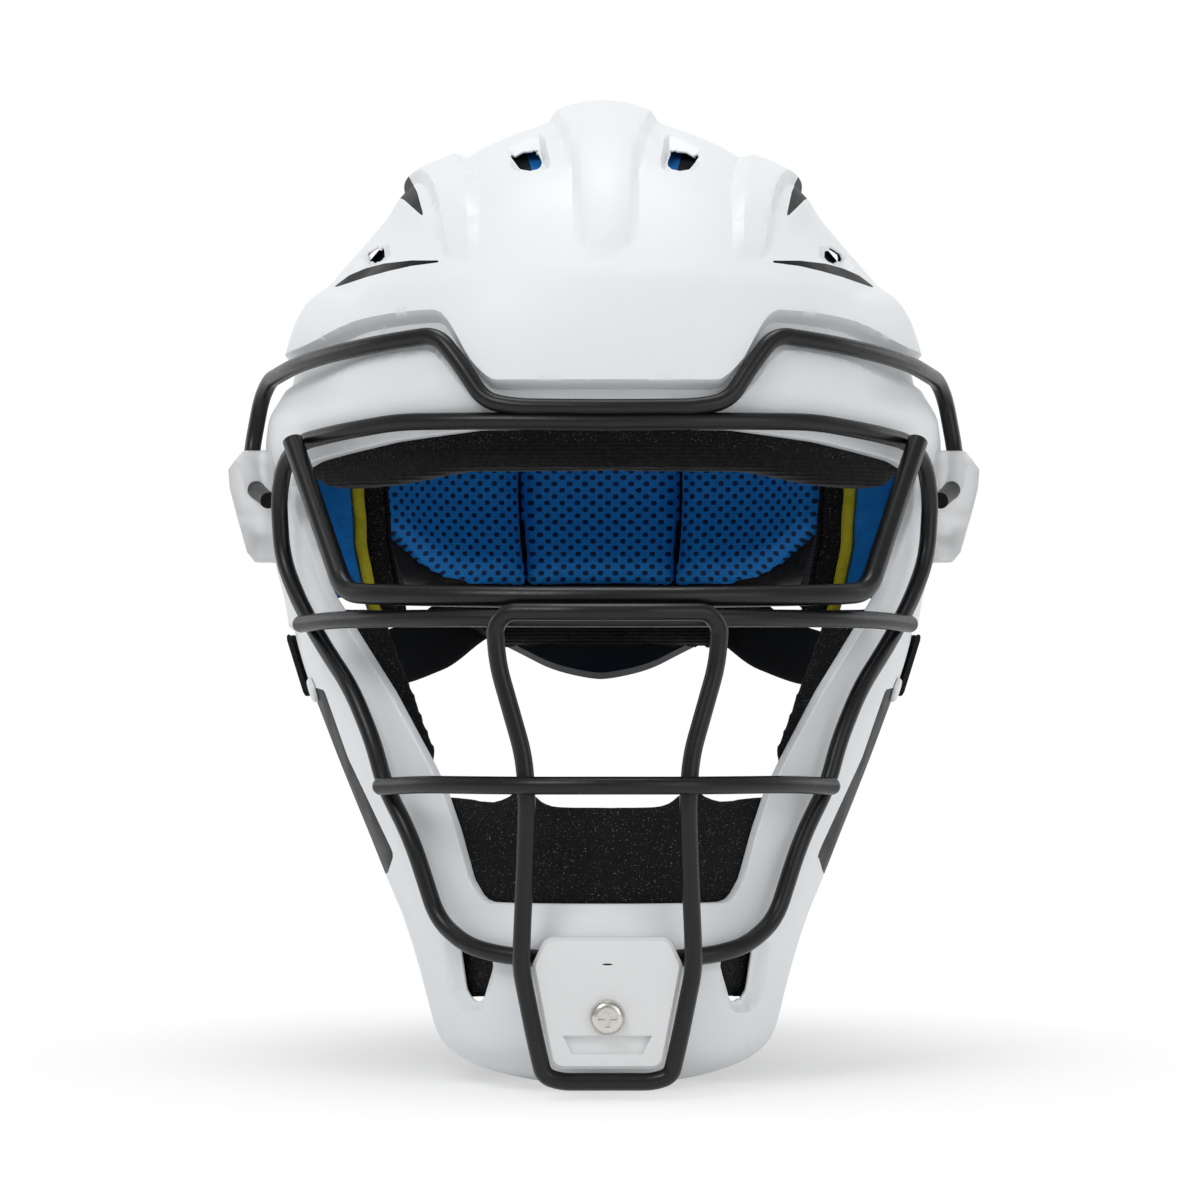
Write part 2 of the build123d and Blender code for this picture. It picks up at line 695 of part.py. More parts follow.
def chin_screw():
    plane = Plane(origin=(0, chin_face(), chin_screw_height()), z_dir=(0, 1, 0))
    return plane * screw(chin_clip_thickness + shell_wall + nut_gap + tee_nut_plate_wall)


def chin_nut():
    back = chin_face() + chin_clip_thickness + shell_wall + nut_gap
    plane = Plane(origin=(0, back, chin_screw_height()), z_dir=(0, -1, 0))
    return plane * tee_nut()


def dome_rays(reach, count):
    """Rays that cover the dome evenly from a place under it, out to a reach from straight up."""
    origin = (0, dome_y_share * shell_half_length, dome_z_share * shell_height)
    slants = [math.tan(math.radians(angle)) for angle in spread(-reach, reach, count)]
    return [[(origin, tuple(Vector(x, y, 1).normalized())) for x in slants] for y in slants]


def band_rays(reach, low, top, rows, columns, backwards=False, start=None):
    """Level rays over a band between two curves of height, given over the share of its reach."""
    first = -reach if start is None else start
    rays = []
    for height in spread(0, 1, rows):
        row = []
        for turn in spread(first, reach, columns):
            share = abs(turn) / max(abs(reach), abs(first))
            bottom = low(share)
            row.append(level_ray(turn, bottom + height * (top(share) - bottom), backwards))
        rays.append(row)
    return rays


def side_rays(side, front, rear, heights, rows, columns):
    """Rays to one side over a band between a front and a rear edge."""
    rays = []
    for height in spread(*heights, rows):
        row = [side_ray(side, y, height) for y in spread(front(height), rear(height), columns)]
        rays.append(row)
    return rays


def level_at(share):
    """A height that is the same all along."""
    return lambda place: share


def side_stack(side):
    """The foam at the temple: dense outer layer, thin middle, soft inner layer and lining."""
    front, rear = (level_at(share) for share in side_foam_length_shares)
    rays = side_rays(side, front, rear, side_foam_height_shares, 9, 11)
    depth = shell_wall + liner_gap
    pieces = {}
    for name, wall in (
        ("outer", side_foam_wall), ("middle", side_middle_wall), ("inner", side_inner_wall),
        ("lining", side_lining_wall),
    ):
        pieces[name] = layer(rays, lambda t, s, p: -depth, lambda t, s, p: -depth - wall)
        depth += wall + soft_gap
    pocket = side_nut_pocket()
    pieces["outer"] = pieces["outer"].cut(pocket if side > 0 else mirrored(pocket))
    return pieces


def jaw_pads(side):
    front, rear = smooth_curve(jaw_front_shares), smooth_curve(jaw_rear_shares)
    rays = side_rays(side, front, rear, jaw_pad_height_shares, 8, 8)
    depth = shell_wall + 2 * bore_gap + rivet_head_height / 2 + soft_gap
    return pad(rays, depth, jaw_pad_wall, firm_rim_share)


def brow_pad():
    low, top = smooth_curve(brow_low_shares), smooth_curve(brow_top_shares)
    rays = band_rays(brow_pad_angle, low, top, 7, 21)
    return pad(rays, shell_wall + liner_gap, brow_pad_wall)


def chin_pad():
    low, top = smooth_curve(chin_pad_low_shares), smooth_curve(chin_pad_top_shares)
    rays = band_rays(chin_pad_angle, low, top, 7, 13)
    return pad(rays, shell_wall + liner_gap, chin_pad_wall, firm_rim_share)


def back_foam():
    low, top = (level_at(share) for share in back_foam_height_shares)
    rays = band_rays(back_foam_angle, low, top, 6, 15, backwards=True)
    face = -shell_wall - liner_gap
    return layer(rays, lambda t, s, p: face, lambda t, s, p: face - back_foam_wall)


def mesh_panels():
    """Three cushioned mesh panels across the back of the head, parted by narrow channels."""
    depth = shell_wall + liner_gap + back_foam_wall + soft_gap
    low, top = smooth_curve(mesh_low_shares), level_at(mesh_top_share)
    channel = math.degrees(mesh_channel / shell_half_length) / 2
    seam = mesh_seam_angle
    spans = {"left": (-mesh_angle, -seam - channel), "middle": (channel - seam, seam - channel),
             "right": (seam + channel, mesh_angle)}
    panels = {}
    for name, (first, last) in spans.items():
        rays = []
        for height in spread(0, 1, 8):
            row = []
            for turn in spread(first, last, 8):
                share = abs(turn) / mesh_angle
                row.append(level_ray(turn, low(share) + height * (top(share) - low(share)), True))
            rays.append(row)
        panels[name] = pad(rays, depth, mesh_wall)
    return panels


def plate_rays(reach, low, top, rows, columns):
    return band_rays(reach, low, top, rows, columns, backwards=True)


def back_plate():
    rays = plate_rays(plate_angle, smooth_curve(plate_low_shares), smooth_curve(plate_top_shares), 9, 17)
    depth = shell_wall + plate_gap
    plate = layer(rays, lambda t, s, p: -depth, lambda t, s, p: -depth - plate_wall)
    bore = rivet_shank + 2 * bore_gap
    return plate.cut(plate_rivet_bore(-1, bore), plate_rivet_bore(1, bore), top_rivet_bore(bore))


def back_plate_pad():
    low, top = (level_at(share) for share in plate_pad_height_shares)
    rays = plate_rays(plate_pad_angle, low, top, 6, 11)
    return pad(rays, shell_wall + plate_gap + plate_wall + soft_gap, plate_pad_wall)


def strap_offset(turn, far, near, far_end, near_end):
    """A strap's offset: at the plate's depth at one end, against the shell at the other."""
    share = ramp((turn - near_end) / (far_end - near_end))
    return near + (far - near) * share


def strap(side):
    """A webbing strap from the outside of the jaw back to the outside of the back plate."""
    height = smooth_curve(strap_height_shares)
    half = strap_width / 2 / shell_height
    turns = spread(*strap_angles, strap_rows)
    rays = []
    for turn in turns:
        rays.append([level_ray(side * turn, height(turn) + half * t, True) for t in spread(-1, 1, 4)])
    on_shell, on_plate = soft_gap + patch_wall + soft_gap, strap_lift - shell_wall - plate_gap

    def under(t, s, p):
        turn = strap_angles[0] + t * (strap_angles[1] - strap_angles[0])
        return strap_offset(turn, on_shell, on_plate, strap_shell_angle, strap_plate_angle)

    band = layer(rays, lambda t, s, p: under(t, s, p) + strap_wall, under)
    return band.cut(plate_rivet_bore(side, rivet_shank + 2 * bore_gap))


def hook_patch(side):
    """The hook-and-loop patch on the jaw that the strap's end lies on."""
    height = smooth_curve(strap_height_shares)
    half = (strap_width / 2 - patch_inset) / shell_height
    rays = []
    for turn in spread(*strap_patch_angles, 5):
        rays.append([level_ray(side * turn, height(turn) + half * t, True) for t in spread(-1, 1, 4)])
    return layer(rays, lambda t, s, p: soft_gap + patch_wall, lambda t, s, p: soft_gap)


def top_strap():
    """A webbing strap from the back of the shell down to the back plate."""
    low, high = top_strap_height_shares
    half = math.degrees(strap_width / 2 / shell_half_length)
    rays = [[level_ray(turn, z, True) for turn in spread(-half, half, 4)] for z in spread(low, high, 12)]
    on_shell, on_plate = soft_gap + patch_wall + soft_gap, strap_lift - shell_wall - plate_gap

    def under(t, s, p):
        share = low + t * (high - low)
        return strap_offset(share, on_shell, on_plate, top_strap_shell_share, top_strap_plate_share)

    band = layer(rays, lambda t, s, p: under(t, s, p) + strap_wall, under, strap_tolerance)
    return band.cut(top_rivet_bore(rivet_shank + 2 * bore_gap))


def top_patch():
    """The hook-and-loop patch on the back of the shell under the top strap."""
    half = math.degrees((strap_width / 2 - patch_inset) / shell_half_length)
    rays = [[level_ray(turn, z, True) for turn in spread(-half, half, 4)]
            for z in spread(*top_strap_patch_shares, 5)]
    return layer(rays, lambda t, s, p: soft_gap + patch_wall, lambda t, s, p: soft_gap)


def seat_plane(ray, offset):
    """A plane at a distance off the shell's outer form, facing inwards."""
    point, normal = cast(*ray)
    return Plane(origin=point + normal * offset, z_dir=normal * -1)


def plate_rivet_ray(side):
    height = smooth_curve(strap_height_shares)
    return level_ray(side * strap_rivet_angle, height(strap_rivet_angle), True)


def bore_through(ray, diameter):
    plane = seat_plane(ray, rivet_head)
    return Solid.extrude((plane * Circle(diameter / 2)).faces()[0], plane.z_dir * 3 * rivet_head)


def plate_rivet_bore(side, diameter):
    return bore_through(plate_rivet_ray(side), diameter)


def top_rivet_bore(diameter):
    return bore_through(level_ray(0, top_strap_rivet_share, True), diameter)


def jaw_rivet_bore(diameter):
    return bore_through(side_ray(1, *jaw_rivet_share), diameter)


def rivet(length):
    """A domed rivet: the head's underside is at the origin, the shank along +Z."""
    head = Cylinder(rivet_head / 2, rivet_head_height, align=(Align.CENTER, Align.CENTER, Align.MAX))
    head = fillet(head.faces().sort_by(Axis.Z)[0].edges(), rivet_head_height * head_round_share)
    shank = Cylinder(rivet_shank / 2, length, align=(Align.CENTER, Align.CENTER, Align.MIN))
    tail = Cylinder(rivet_tail / 2, rivet_head_height / 2, align=(Align.CENTER, Align.CENTER, Align.MIN))
    return head + shank + Pos(0, 0, length) * tail


def strap_rivets():
    """The rivets that hold the straps to the back plate."""
    offset = strap_lift - shell_wall - plate_gap + strap_wall + soft_gap
    length = strap_wall + strap_lift + soft_gap + plate_wall + bore_gap
    made = []
    for ray in (plate_rivet_ray(-1), plate_rivet_ray(1), level_ray(0, top_strap_rivet_share, True)):
        made += (seat_plane(ray, offset) * rivet(length)).solids()
    return Compound(children=made)


def jaw_rivets():
    """The rivets through the jaw, just ahead of the straps."""
    plane = seat_plane(side_ray(1, *jaw_rivet_share), bore_gap)
    right = (plane * rivet(shell_wall + 2 * bore_gap)).solids()[0]
    return Compound(children=[right, mirrored(right)])


def build():
    """Every piece by its node name."""
    moulded = moulded_shell()
    parts = {"shell": drilled(moulded)}
    parts["cage_loop_wire"] = rod(loop_path(), cage_wire)
    parts["cage_brow_wire"] = rod(brow_path(), cage_wire)
    parts["cage_eye_bar"] = bar(eye_bar_end_share, eye_bar_shares, eye_bar_wire)
    mid_bar = bar(mid_bar_end_share, mid_bar_shares, cage_wire)
    parts["cage_mid_bar"] = domed(mid_bar, mid_bar_end_share, cage_wire)
    lower_bar = bar(lower_bar_end_share, lower_bar_shares, cage_wire, 2)
    parts["cage_lower_bar"] = domed(lower_bar, lower_bar_end_share, cage_wire)
    parts["cage_centre_loop"] = centre_loop()
    clip = side_clip(moulded)
    parts["side_clip_right"], parts["side_clip_left"] = clip, mirrored(clip)
    parts["chin_clip"] = chin_clip(moulded)
    side = side_screw()
    parts["side_clip_screws"] = Compound(children=[side.solids()[0], mirrored(side).solids()[0]])
    parts["chin_clip_screw"] = chin_screw()
    nut = side_nut()
    nuts = [nut.solids()[0], mirrored(nut).solids()[0], chin_nut().solids()[0]]
    parts["tee_nuts"] = Compound(children=nuts)
    under_shell = shell_wall + liner_gap
    parts["crown_foam"] = layer(
        dome_rays(crown_foam_angle, 15),
        lambda t, s, p: -under_shell, lambda t, s, p: -under_shell - crown_foam_wall, loose_tolerance,
    )
    under_foam = under_shell + crown_foam_wall + liner_gap
    parts["crown_pad"] = pad(dome_rays(crown_pad_angle, 8), under_foam, crown_pad_wall)
    parts["brow_pad"] = brow_pad()
    for name, side in (("left", -1), ("right", 1)):
        for part, solid in side_stack(side).items():
            parts[f"side_foam_{part}_{name}"] = solid
        parts[f"jaw_pad_{name}"] = jaw_pads(side)
        parts[f"side_strap_{name}"] = strap(side)
        parts[f"hook_patch_{name}"] = hook_patch(side)
    parts["chin_pad"] = chin_pad()
    parts["back_foam"] = back_foam()
    for name, solid in mesh_panels().items():
        parts[f"back_mesh_{name}"] = solid
    parts["back_plate"] = back_plate()
    parts["back_plate_pad"] = back_plate_pad()
    parts["top_strap"] = top_strap()
    parts["hook_patch_top"] = top_patch()
    parts["strap_rivets"] = strap_rivets()
    parts["jaw_rivets"] = jaw_rivets()
    return parts


if __name__ == "__main__":
    os.makedirs("parts", exist_ok=True)
    made = build()
    box = Compound(children=[Compound(children=solid.solids()) for solid in made.values()]).bounding_box()
    home = Location((0, -(box.min.Y + box.max.Y) / 2, -box.min.Z))
    for name, solid in made.items():
        pieces = [home * piece for piece in solid.solids()]
        export_step(pieces[0] if len(pieces) == 1 else Compound(children=pieces), f"parts/{name}.step")
        print(name, len(pieces), round(sum(piece.volume for piece in pieces)))
    print("moved by", tuple(round(value, 3) for value in home.position), box)
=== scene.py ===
"""Baseball catcher helmet: the finish and the soft parts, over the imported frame.

Lengths are in millimetres in the helmet's own frame, middle plane at x = 0 and face towards -Y.
in_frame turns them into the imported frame's metres.
"""
import json
import math

import bmesh
import bpy
import numpy as np
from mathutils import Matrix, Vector


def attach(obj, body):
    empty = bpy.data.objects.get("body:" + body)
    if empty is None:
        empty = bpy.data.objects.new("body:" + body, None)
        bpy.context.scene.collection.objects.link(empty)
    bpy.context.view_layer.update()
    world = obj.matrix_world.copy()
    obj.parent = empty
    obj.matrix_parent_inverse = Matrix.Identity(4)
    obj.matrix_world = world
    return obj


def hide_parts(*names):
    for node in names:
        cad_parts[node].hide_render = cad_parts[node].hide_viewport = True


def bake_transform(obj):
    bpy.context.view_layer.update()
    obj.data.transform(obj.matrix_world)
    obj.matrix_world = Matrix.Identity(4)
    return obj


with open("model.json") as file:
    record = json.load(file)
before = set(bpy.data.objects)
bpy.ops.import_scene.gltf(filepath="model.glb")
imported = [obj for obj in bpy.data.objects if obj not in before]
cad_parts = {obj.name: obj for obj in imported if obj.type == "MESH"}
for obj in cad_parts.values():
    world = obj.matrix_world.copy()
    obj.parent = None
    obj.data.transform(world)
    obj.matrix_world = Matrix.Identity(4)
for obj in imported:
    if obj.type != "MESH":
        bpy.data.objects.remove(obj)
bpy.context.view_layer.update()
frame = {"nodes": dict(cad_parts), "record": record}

home = np.array([0.0, 17.726, -1.494])
metre = 0.001
helmet, plate_group = "helmet", "back_plate_group"

# Shell, the driving sizes
shell_height = 315.0
shell_half_width = 110.0
shell_half_length = 130.0
shell_wall = 3.6
ridge_height = 4.0
ridge_slope = 3.0
top_vent_depth, side_vent_depth = 3.4, 3.6
brim_height = 4.8
brow_band_height = 1.6
opening_rim_depth = 7.8
vent_rim_wall, inner_relief = 0.9, 0.8

# Height share of the shell: share of its half width, of how far forward and how far back it reaches
width_shares = [
    (-0.1, 0.40), (0.0, 0.455), (0.05, 0.485), (0.10, 0.52), (0.16, 0.575), (0.20, 0.625),
    (0.24, 0.675), (0.29, 0.74), (0.35, 0.815), (0.41, 0.885), (0.476, 0.94), (0.53, 0.98),
    (0.60, 1.0), (0.66, 0.985), (0.70, 0.945), (0.76, 0.925), (1.0, 0.90),
]
front_shares = [
    (-0.1, -1.03), (0.0, -1.07), (0.05, -1.11), (0.12, -1.135), (0.2, -1.13), (0.3, -1.10),
    (0.5, -1.0), (0.65, -0.94), (0.75, -0.92), (1.0, -0.9),
]
rear_shares = [
    (-0.1, -0.2), (0.0, -0.1), (0.1, 0.05), (0.2, 0.2), (0.3, 0.5), (0.4, 0.8),
    (0.5, 0.95), (0.6, 1.0), (0.7, 1.0), (1.0, 0.95),
]
dome_spring_share = 0.70
chin_spring_share = 0.07
plan_power = 2.35
dome_side_power = 1.62
dome_front_power = 2.2
chin_power = 3.4
crown_ridge_half_shares = [(-0.95, 0.07), (-0.7, 0.085), (-0.2, 0.15), (0.3, 0.16), (1.0, 0.12)]
side_ridge_middle_shares = [(-0.9, 0.38), (-0.7, 0.41), (-0.3, 0.48), (0.0, 0.52), (0.5, 0.50), (1.0, 0.42)]
side_ridge_half_shares = [(-0.9, 0.03), (-0.7, 0.045), (-0.3, 0.06), (0.0, 0.075), (0.5, 0.07), (1.0, 0.05)]
ridge_foot_share, ridge_full_share = 0.755, 0.825
brim_low_shares = [
    (0.0, 0.683), (0.30, 0.683), (0.36, 0.700), (0.46, 0.750), (0.66, 0.745), (0.88, 0.724), (1.0, 0.722),
]
brow_band_top_shares = [
    (0.0, 0.667), (0.33, 0.667), (0.39, 0.684), (0.49, 0.722), (0.66, 0.716), (0.88, 0.695), (1.0, 0.695),
]
brim_front_share, brim_back_share = -0.2, 0.2

# Degrees up from the side, about a line along the helmet: millimetres by which the dome is flattened there
flat_depths = [
    (4.0, 0.0), (12.0, 2.0), (21.0, 2.2), (26.5, 3.6), (31.0, 6.0), (38.0, 6.2), (46.0, 5.0), (51.0, 2.4),
    (55.0, 1.6), (60.0, 2.8), (63.0, 3.8), (68.0, 3.2), (79.0, 3.0), (82.0, 1.6), (90.0, 1.0),
]
flat_height_share = 0.635
fan_y_share, fan_z_share = 0.345, 0.355
dome_y_share, dome_z_share = 0.04, 0.675

# Half outline of the face opening, and the side outline of the neck opening
opening_shares = [
    (0.334, 0.641), (0.564, 0.631), (0.785, 0.615), (0.864, 0.602), (0.846, 0.557),
    (0.782, 0.487), (0.712, 0.451), (0.588, 0.387), (0.484, 0.323), (0.438, 0.292),
    (0.400, 0.254), (0.363, 0.208), (0.325, 0.186),
]
opening_corner_shares = [0.15, 0.10, 0.03, 0.05, 0.25, 0.20, 0.15, 0.25, 0.18, 0.12, 0.25, 0.07, 0.05]
neck_shares = [
    (-0.91, -0.16), (-0.85, -0.02), (-0.74, 0.045), (-0.48, 0.17), (-0.31, 0.30), (-0.14, 0.397),
    (0.03, 0.448), (0.215, 0.476), (0.46, 0.488), (0.73, 0.500), (0.92, 0.525), (1.3, 0.540),
    (1.3, -0.16),
]

# The camera that took the photograph, in millimetres and its 1200 pixels
camera_distance = 1500.0
camera_height = 150.0
pixel_scale = 0.33
picture_middle = 600.0
helmet_middle_pixel = 603.0
camera_turn = 0.45

# Outlines seen in the photograph, left half, in its pixels
top_vent_pixels = [
    (506.5, 147), (538, 132.5), (544, 136), (550, 160), (550, 167), (543, 172), (527, 174), (511, 169),
]
top_vent_hole_pixels = [
    (511, 166), (513, 160), (523, 155), (538, 150), (543, 160), (543.5, 168), (530, 171.5), (515, 169),
]
side_vent_pixels = [(353, 267), (360, 255.5), (373, 249), (390, 244), (391, 257), (376, 266), (358, 271)]
side_vent_hole_pixels = [(371, 264.5), (377, 258), (389, 251), (390, 257), (382, 262), (375, 265.5)]
chin_vent_pixels = [(449, 942), (487, 958), (487, 970), (475, 1007), (463, 1004), (456, 992)]
upper_accent_pixels = [(409, 177), (417, 192), (424, 218), (404, 200), (380, 190), (396, 160)]
lower_accent_pixels = [(331, 289), (349, 275.5), (366.5, 268), (384.5, 263.5), (411, 260.5), (438, 260.5),
                       (438, 262.5), (411, 266), (389, 271), (367, 277), (349, 283)]
brim_crest_pixels = [(250, 318), (306, 306), (387, 293), (495, 284), (613, 281)]
jaw_accent_pixels = [(317, 688), (324, 690), (348, 758), (375, 815), (392, 851), (393, 856), (387.5, 873),
                     (370, 880), (200, 860), (200, 688)]


def smooth_curve(shares):
    """A curve through pairs of shares without overshoot, held level past its ends, for arrays."""
    places = np.array([pair[0] for pair in shares])
    values = np.array([pair[1] for pair in shares])
    runs = np.diff(places)
    slopes = np.diff(values) / runs
    tangents = np.empty_like(values)
    tangents[0], tangents[-1] = slopes[0], slopes[-1]
    same_way = slopes[:-1] * slopes[1:] > 0
    total = np.where(same_way, slopes[:-1] + slopes[1:], 1)
    tangents[1:-1] = np.where(same_way, 2 * slopes[:-1] * slopes[1:] / total, 0)

    def value(place):
        place = np.clip(place, places[0], places[-1])
        i = np.clip(np.searchsorted(places, place, side="right") - 1, 0, len(runs) - 1)
        t = (place - places[i]) / runs[i]
        rise = t * t * (3 - 2 * t)
        bend = t * (1 - t) * ((1 - t) * tangents[i] - t * tangents[i + 1])
        return values[i] * (1 - rise) + values[i + 1] * rise + runs[i] * bend

    return value


width_at = smooth_curve(width_shares)
front_at, rear_at = smooth_curve(front_shares), smooth_curve(rear_shares)
crown_ridge_half = smooth_curve(crown_ridge_half_shares)
side_ridge_middle = smooth_curve(side_ridge_middle_shares)
side_ridge_half = smooth_curve(side_ridge_half_shares)
flat_depth = smooth_curve(flat_depths)
dome_spring = dome_spring_share * shell_height
dome_top = shell_height - ridge_height


def level(p):
    """Under 1 inside the shell's outer form, 1 on it and over 1 outside."""
    share = p[:, 2] / shell_height
    front, rear = shell_half_length * front_at(share), shell_half_length * rear_at(share)
    across = (np.abs(p[:, 0]) / (shell_half_width * width_at(share))) ** plan_power
    along = (np.abs(2 * p[:, 1] - front - rear) / (rear - front)) ** plan_power
    plan = (across + along) ** (1 / plan_power)
    power = dome_side_power + (dome_front_power - dome_side_power) * along / np.maximum(across + along, 1e-12)
    top = np.maximum(0, (p[:, 2] - dome_spring) / (dome_top - dome_spring))
    low = np.maximum(0, (chin_spring_share - share) / chin_spring_share)
    return plan ** power + top ** 2 + low ** chin_power


def outward(p):
    """The shell's outward normals at points of its outer form."""
    step = shell_wall / 10
    slope = np.stack([level(p + step * axis) - level(p - step * axis) for axis in np.eye(3)], -1)
    return slope / np.linalg.norm(slope, axis=1, keepdims=True)


def cast(origins, directions):
    """Where rays from inside the shell meet its outer form, and the outward normals there."""
    near = np.zeros(len(directions))
    far = np.full(len(directions), 2 * shell_height)
    for _ in range(30):
        middle = (near + far) / 2
        inside = level(origins + middle[:, None] * directions) < 1
        near, far = np.where(inside, middle, near), np.where(inside, far, middle)
    points = origins + near[:, None] * directions
    return points, outward(points)


def fan_rays(angles):
    """Rays of the fan, from turn and lean in degrees: turn 0 looks forward and 90 up, lean is to +X."""
    turn, lean = np.radians(angles[:, 0]), np.radians(angles[:, 1])
    centre = np.array([0, fan_y_share * shell_half_length, fan_z_share * shell_height])
    ahead = np.stack([np.sin(lean), -np.cos(lean) * np.cos(turn), np.cos(lean) * np.sin(turn)], -1)
    return np.broadcast_to(centre, ahead.shape), ahead


def in_frame(points):
    """Millimetres in the helmet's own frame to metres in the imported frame."""
    return (np.asarray(points) + home) * metre


def in_picture(p):
    """Where points lie in the photograph, as pixels of its left half."""
    scale = pixel_scale * (camera_distance + p[:, 1]) / camera_distance
    middle = helmet_middle_pixel - p[:, 1] * math.tan(math.radians(camera_turn)) / pixel_scale
    down = picture_middle - (p[:, 2] - camera_height) / scale
    return np.stack([middle - np.abs(p[:, 0]) / scale, down], -1)


def ramp(value):
    """0 below 0, 1 above 1 and a smooth rise between."""
    value = np.clip(value, 0, 1)
    return value * value * (3 - 2 * value)


def rounded(points, radii, steps=7):
    """A closed outline with its corners turned into arcs."""
    points = [np.array(point, float) for point in points]
    outline = []
    for i, corner in enumerate(points):
        before, after = points[i - 1] - corner, points[(i + 1) % len(points)] - corner
        reach_before, reach_after = np.linalg.norm(before), np.linalg.norm(after)
        before, after = before / reach_before, after / reach_after
        half = math.acos(np.clip(before @ after, -1, 1)) / 2
        reach = min(radii[i] / math.tan(half), 0.48 * reach_before, 0.48 * reach_after)
        start, end = corner + before * reach, corner + after * reach
        for t in np.linspace(0, 1, steps):
            outline.append((1 - t) ** 2 * start + 2 * t * (1 - t) * corner + t * t * end)
    return np.array(outline)


def outline_distance(at, outline, closed=True):
    """Signed distance from flat points to an outline, positive inside a closed one or above an open one."""
    starts = outline if closed else outline[:-1]
    ends = np.roll(outline, -1, 0) if closed else outline[1:]
    nearest = np.full(len(at), np.inf)
    inside = np.zeros(len(at), bool)
    for start, end in zip(starts, ends):
        run = end - start
        t = np.clip(((at - start) @ run) / max(run @ run, 1e-12), 0, 1)
        nearest = np.minimum(nearest, np.linalg.norm(at - start - t[:, None] * run, axis=1))
        if closed:
            crosses = (start[1] > at[:, 1]) != (end[1] > at[:, 1])
            rise = run[1] if abs(run[1]) > 1e-12 else 1e-12
            inside ^= crosses & (at[:, 0] < start[0] + (at[:, 1] - start[1]) / rise * run[0])
    if not closed:
        inside = at[:, 1] > np.interp(at[:, 0], outline[:, 0], outline[:, 1])
    return np.where(inside, nearest, -nearest)


def scaled(shares, across=shell_half_width, up=shell_height):
    return [(a * across, b * up) for a, b in shares]


half_opening = scaled(opening_shares)
opening_outline = rounded(
    half_opening + [(-x, z) for x, z in reversed(half_opening)],
    [share * shell_half_width for share in opening_corner_shares + opening_corner_shares[::-1]],
)
neck_outline = rounded(scaled(neck_shares, shell_half_length), [shell_half_width / 4] * len(neck_shares))


def sampled(shares, count=80):
    """An open line of points in millimetres from a table of shares."""
    places = np.linspace(0, shares[-1][0] * 1.3, count)
    return np.stack([places * shell_half_width, smooth_curve(shares)(places) * shell_height], -1)


brim_line, band_line = sampled(brim_low_shares), sampled(brow_band_top_shares)


def front_view(p):
    return np.stack([np.abs(p[:, 0]), p[:, 2]], -1)


def opening_field(p):
    """Distance to the face opening, positive inside it, for the rim's inner edge seen from the front."""
    ahead = p[:, 1] < 0
    rim = p - outward(p) * opening_rim_depth
    return np.where(ahead, outline_distance(rim[:, [0, 2]], opening_outline), -shell_half_width)


def neck_field(p):
    return outline_distance(p[:, 1:], neck_outline)


def brim_field(p):
    return outline_distance(front_view(p), brim_line, closed=False)


def band_field(p):
    return -outline_distance(front_view(p), band_line, closed=False)


outline_reach = 40      # pixels past an outline where its distance still matters


def picture_field(pixels, radius, ahead_of=60.0, sunk=0.0):
    """Distance to an outline of the photograph, in its pixels, positive inside; far off behind the front."""
    outline = rounded(pixels, [radius] * len(pixels))

    def field(p):
        at = in_picture(p)
        far = np.maximum(outline.min(0) - at, at - outline.max(0)).max(1)
        near = (p[:, 1] < ahead_of) & (far < outline_reach)
        value = np.full(len(p), -shell_half_width)
        near_points = p[near]
        seen = near_points + outward(near_points) * (form(near_points) - sunk)[:, None]
        value[near] = outline_distance(in_picture(seen), outline)
        return value

    return field


top_vent = picture_field(top_vent_pixels, 4)
top_vent_hole = picture_field(top_vent_hole_pixels, 4, sunk=top_vent_depth)
side_vent = picture_field(side_vent_pixels, 4)
side_vent_hole = picture_field(side_vent_hole_pixels, 3, sunk=side_vent_depth)
chin_vent = picture_field(chin_vent_pixels, 6, 0.0)
upper_accent = picture_field(upper_accent_pixels, 2)
lower_accent = picture_field(lower_accent_pixels, 3)
jaw_accent = picture_field(jaw_accent_pixels, 2, 0.0)


def rear_vent_hole(p):
    """The two vents at the back of the crown, like the front ones."""
    turned = np.stack([p[:, 0], -p[:, 1] - 0.04 * shell_half_length, p[:, 2]], -1)
    return np.where(p[:, 1] > 0, top_vent_hole(turned), -shell_half_width)


brim_crest = np.array(brim_crest_pixels, float)


def over_crest(p):
    """How far points lie above the crest of the brim, in the photograph's pixels."""
    at = in_picture(p)
    return np.maximum(0, np.interp(at[:, 0], brim_crest[:, 0], brim_crest[:, 1]) - at[:, 1])


def crown_ridge_field(p):
    half = crown_ridge_half(p[:, 1] / shell_half_length)
    return (half - np.abs(p[:, 0]) / shell_half_width) * shell_half_width


def side_ridge_field(p):
    y = p[:, 1] / shell_half_length
    off = np.abs(np.abs(p[:, 0]) / shell_half_width - side_ridge_middle(y))
    return (side_ridge_half(y) - off) * shell_half_width


def forward(p):
    y = p[:, 1] / shell_half_length
    return 1 - ramp((y - brim_front_share) / (brim_back_share - brim_front_share))


# Widths of the steps and slopes of the form, in millimetres, and where they start and end
step_run, crown_hollow, crest_fade, band_end_run = 2.4, 0.42, 60, 7
band_low_share, flange_reach = 0.45, 13.0
flange_depth, flange_extra, flange_extra_share, flange_extra_run = 2.4, 2.2, 0.62, 0.12
flat_fade, flat_fade_run = 0.35, 0.4
vent_slope, chin_vent_depth, chin_vent_slope = 7, 3.0, 8


def flattened(p):
    """How far the flanks and the top of the dome lie inside its plain form."""
    turn = np.degrees(np.arctan2(p[:, 2] - flat_height_share * shell_height, np.abs(p[:, 0])))
    return flat_depth(turn) * (1 - ramp((np.abs(outward(p)[:, 1]) - flat_fade) / flat_fade_run))


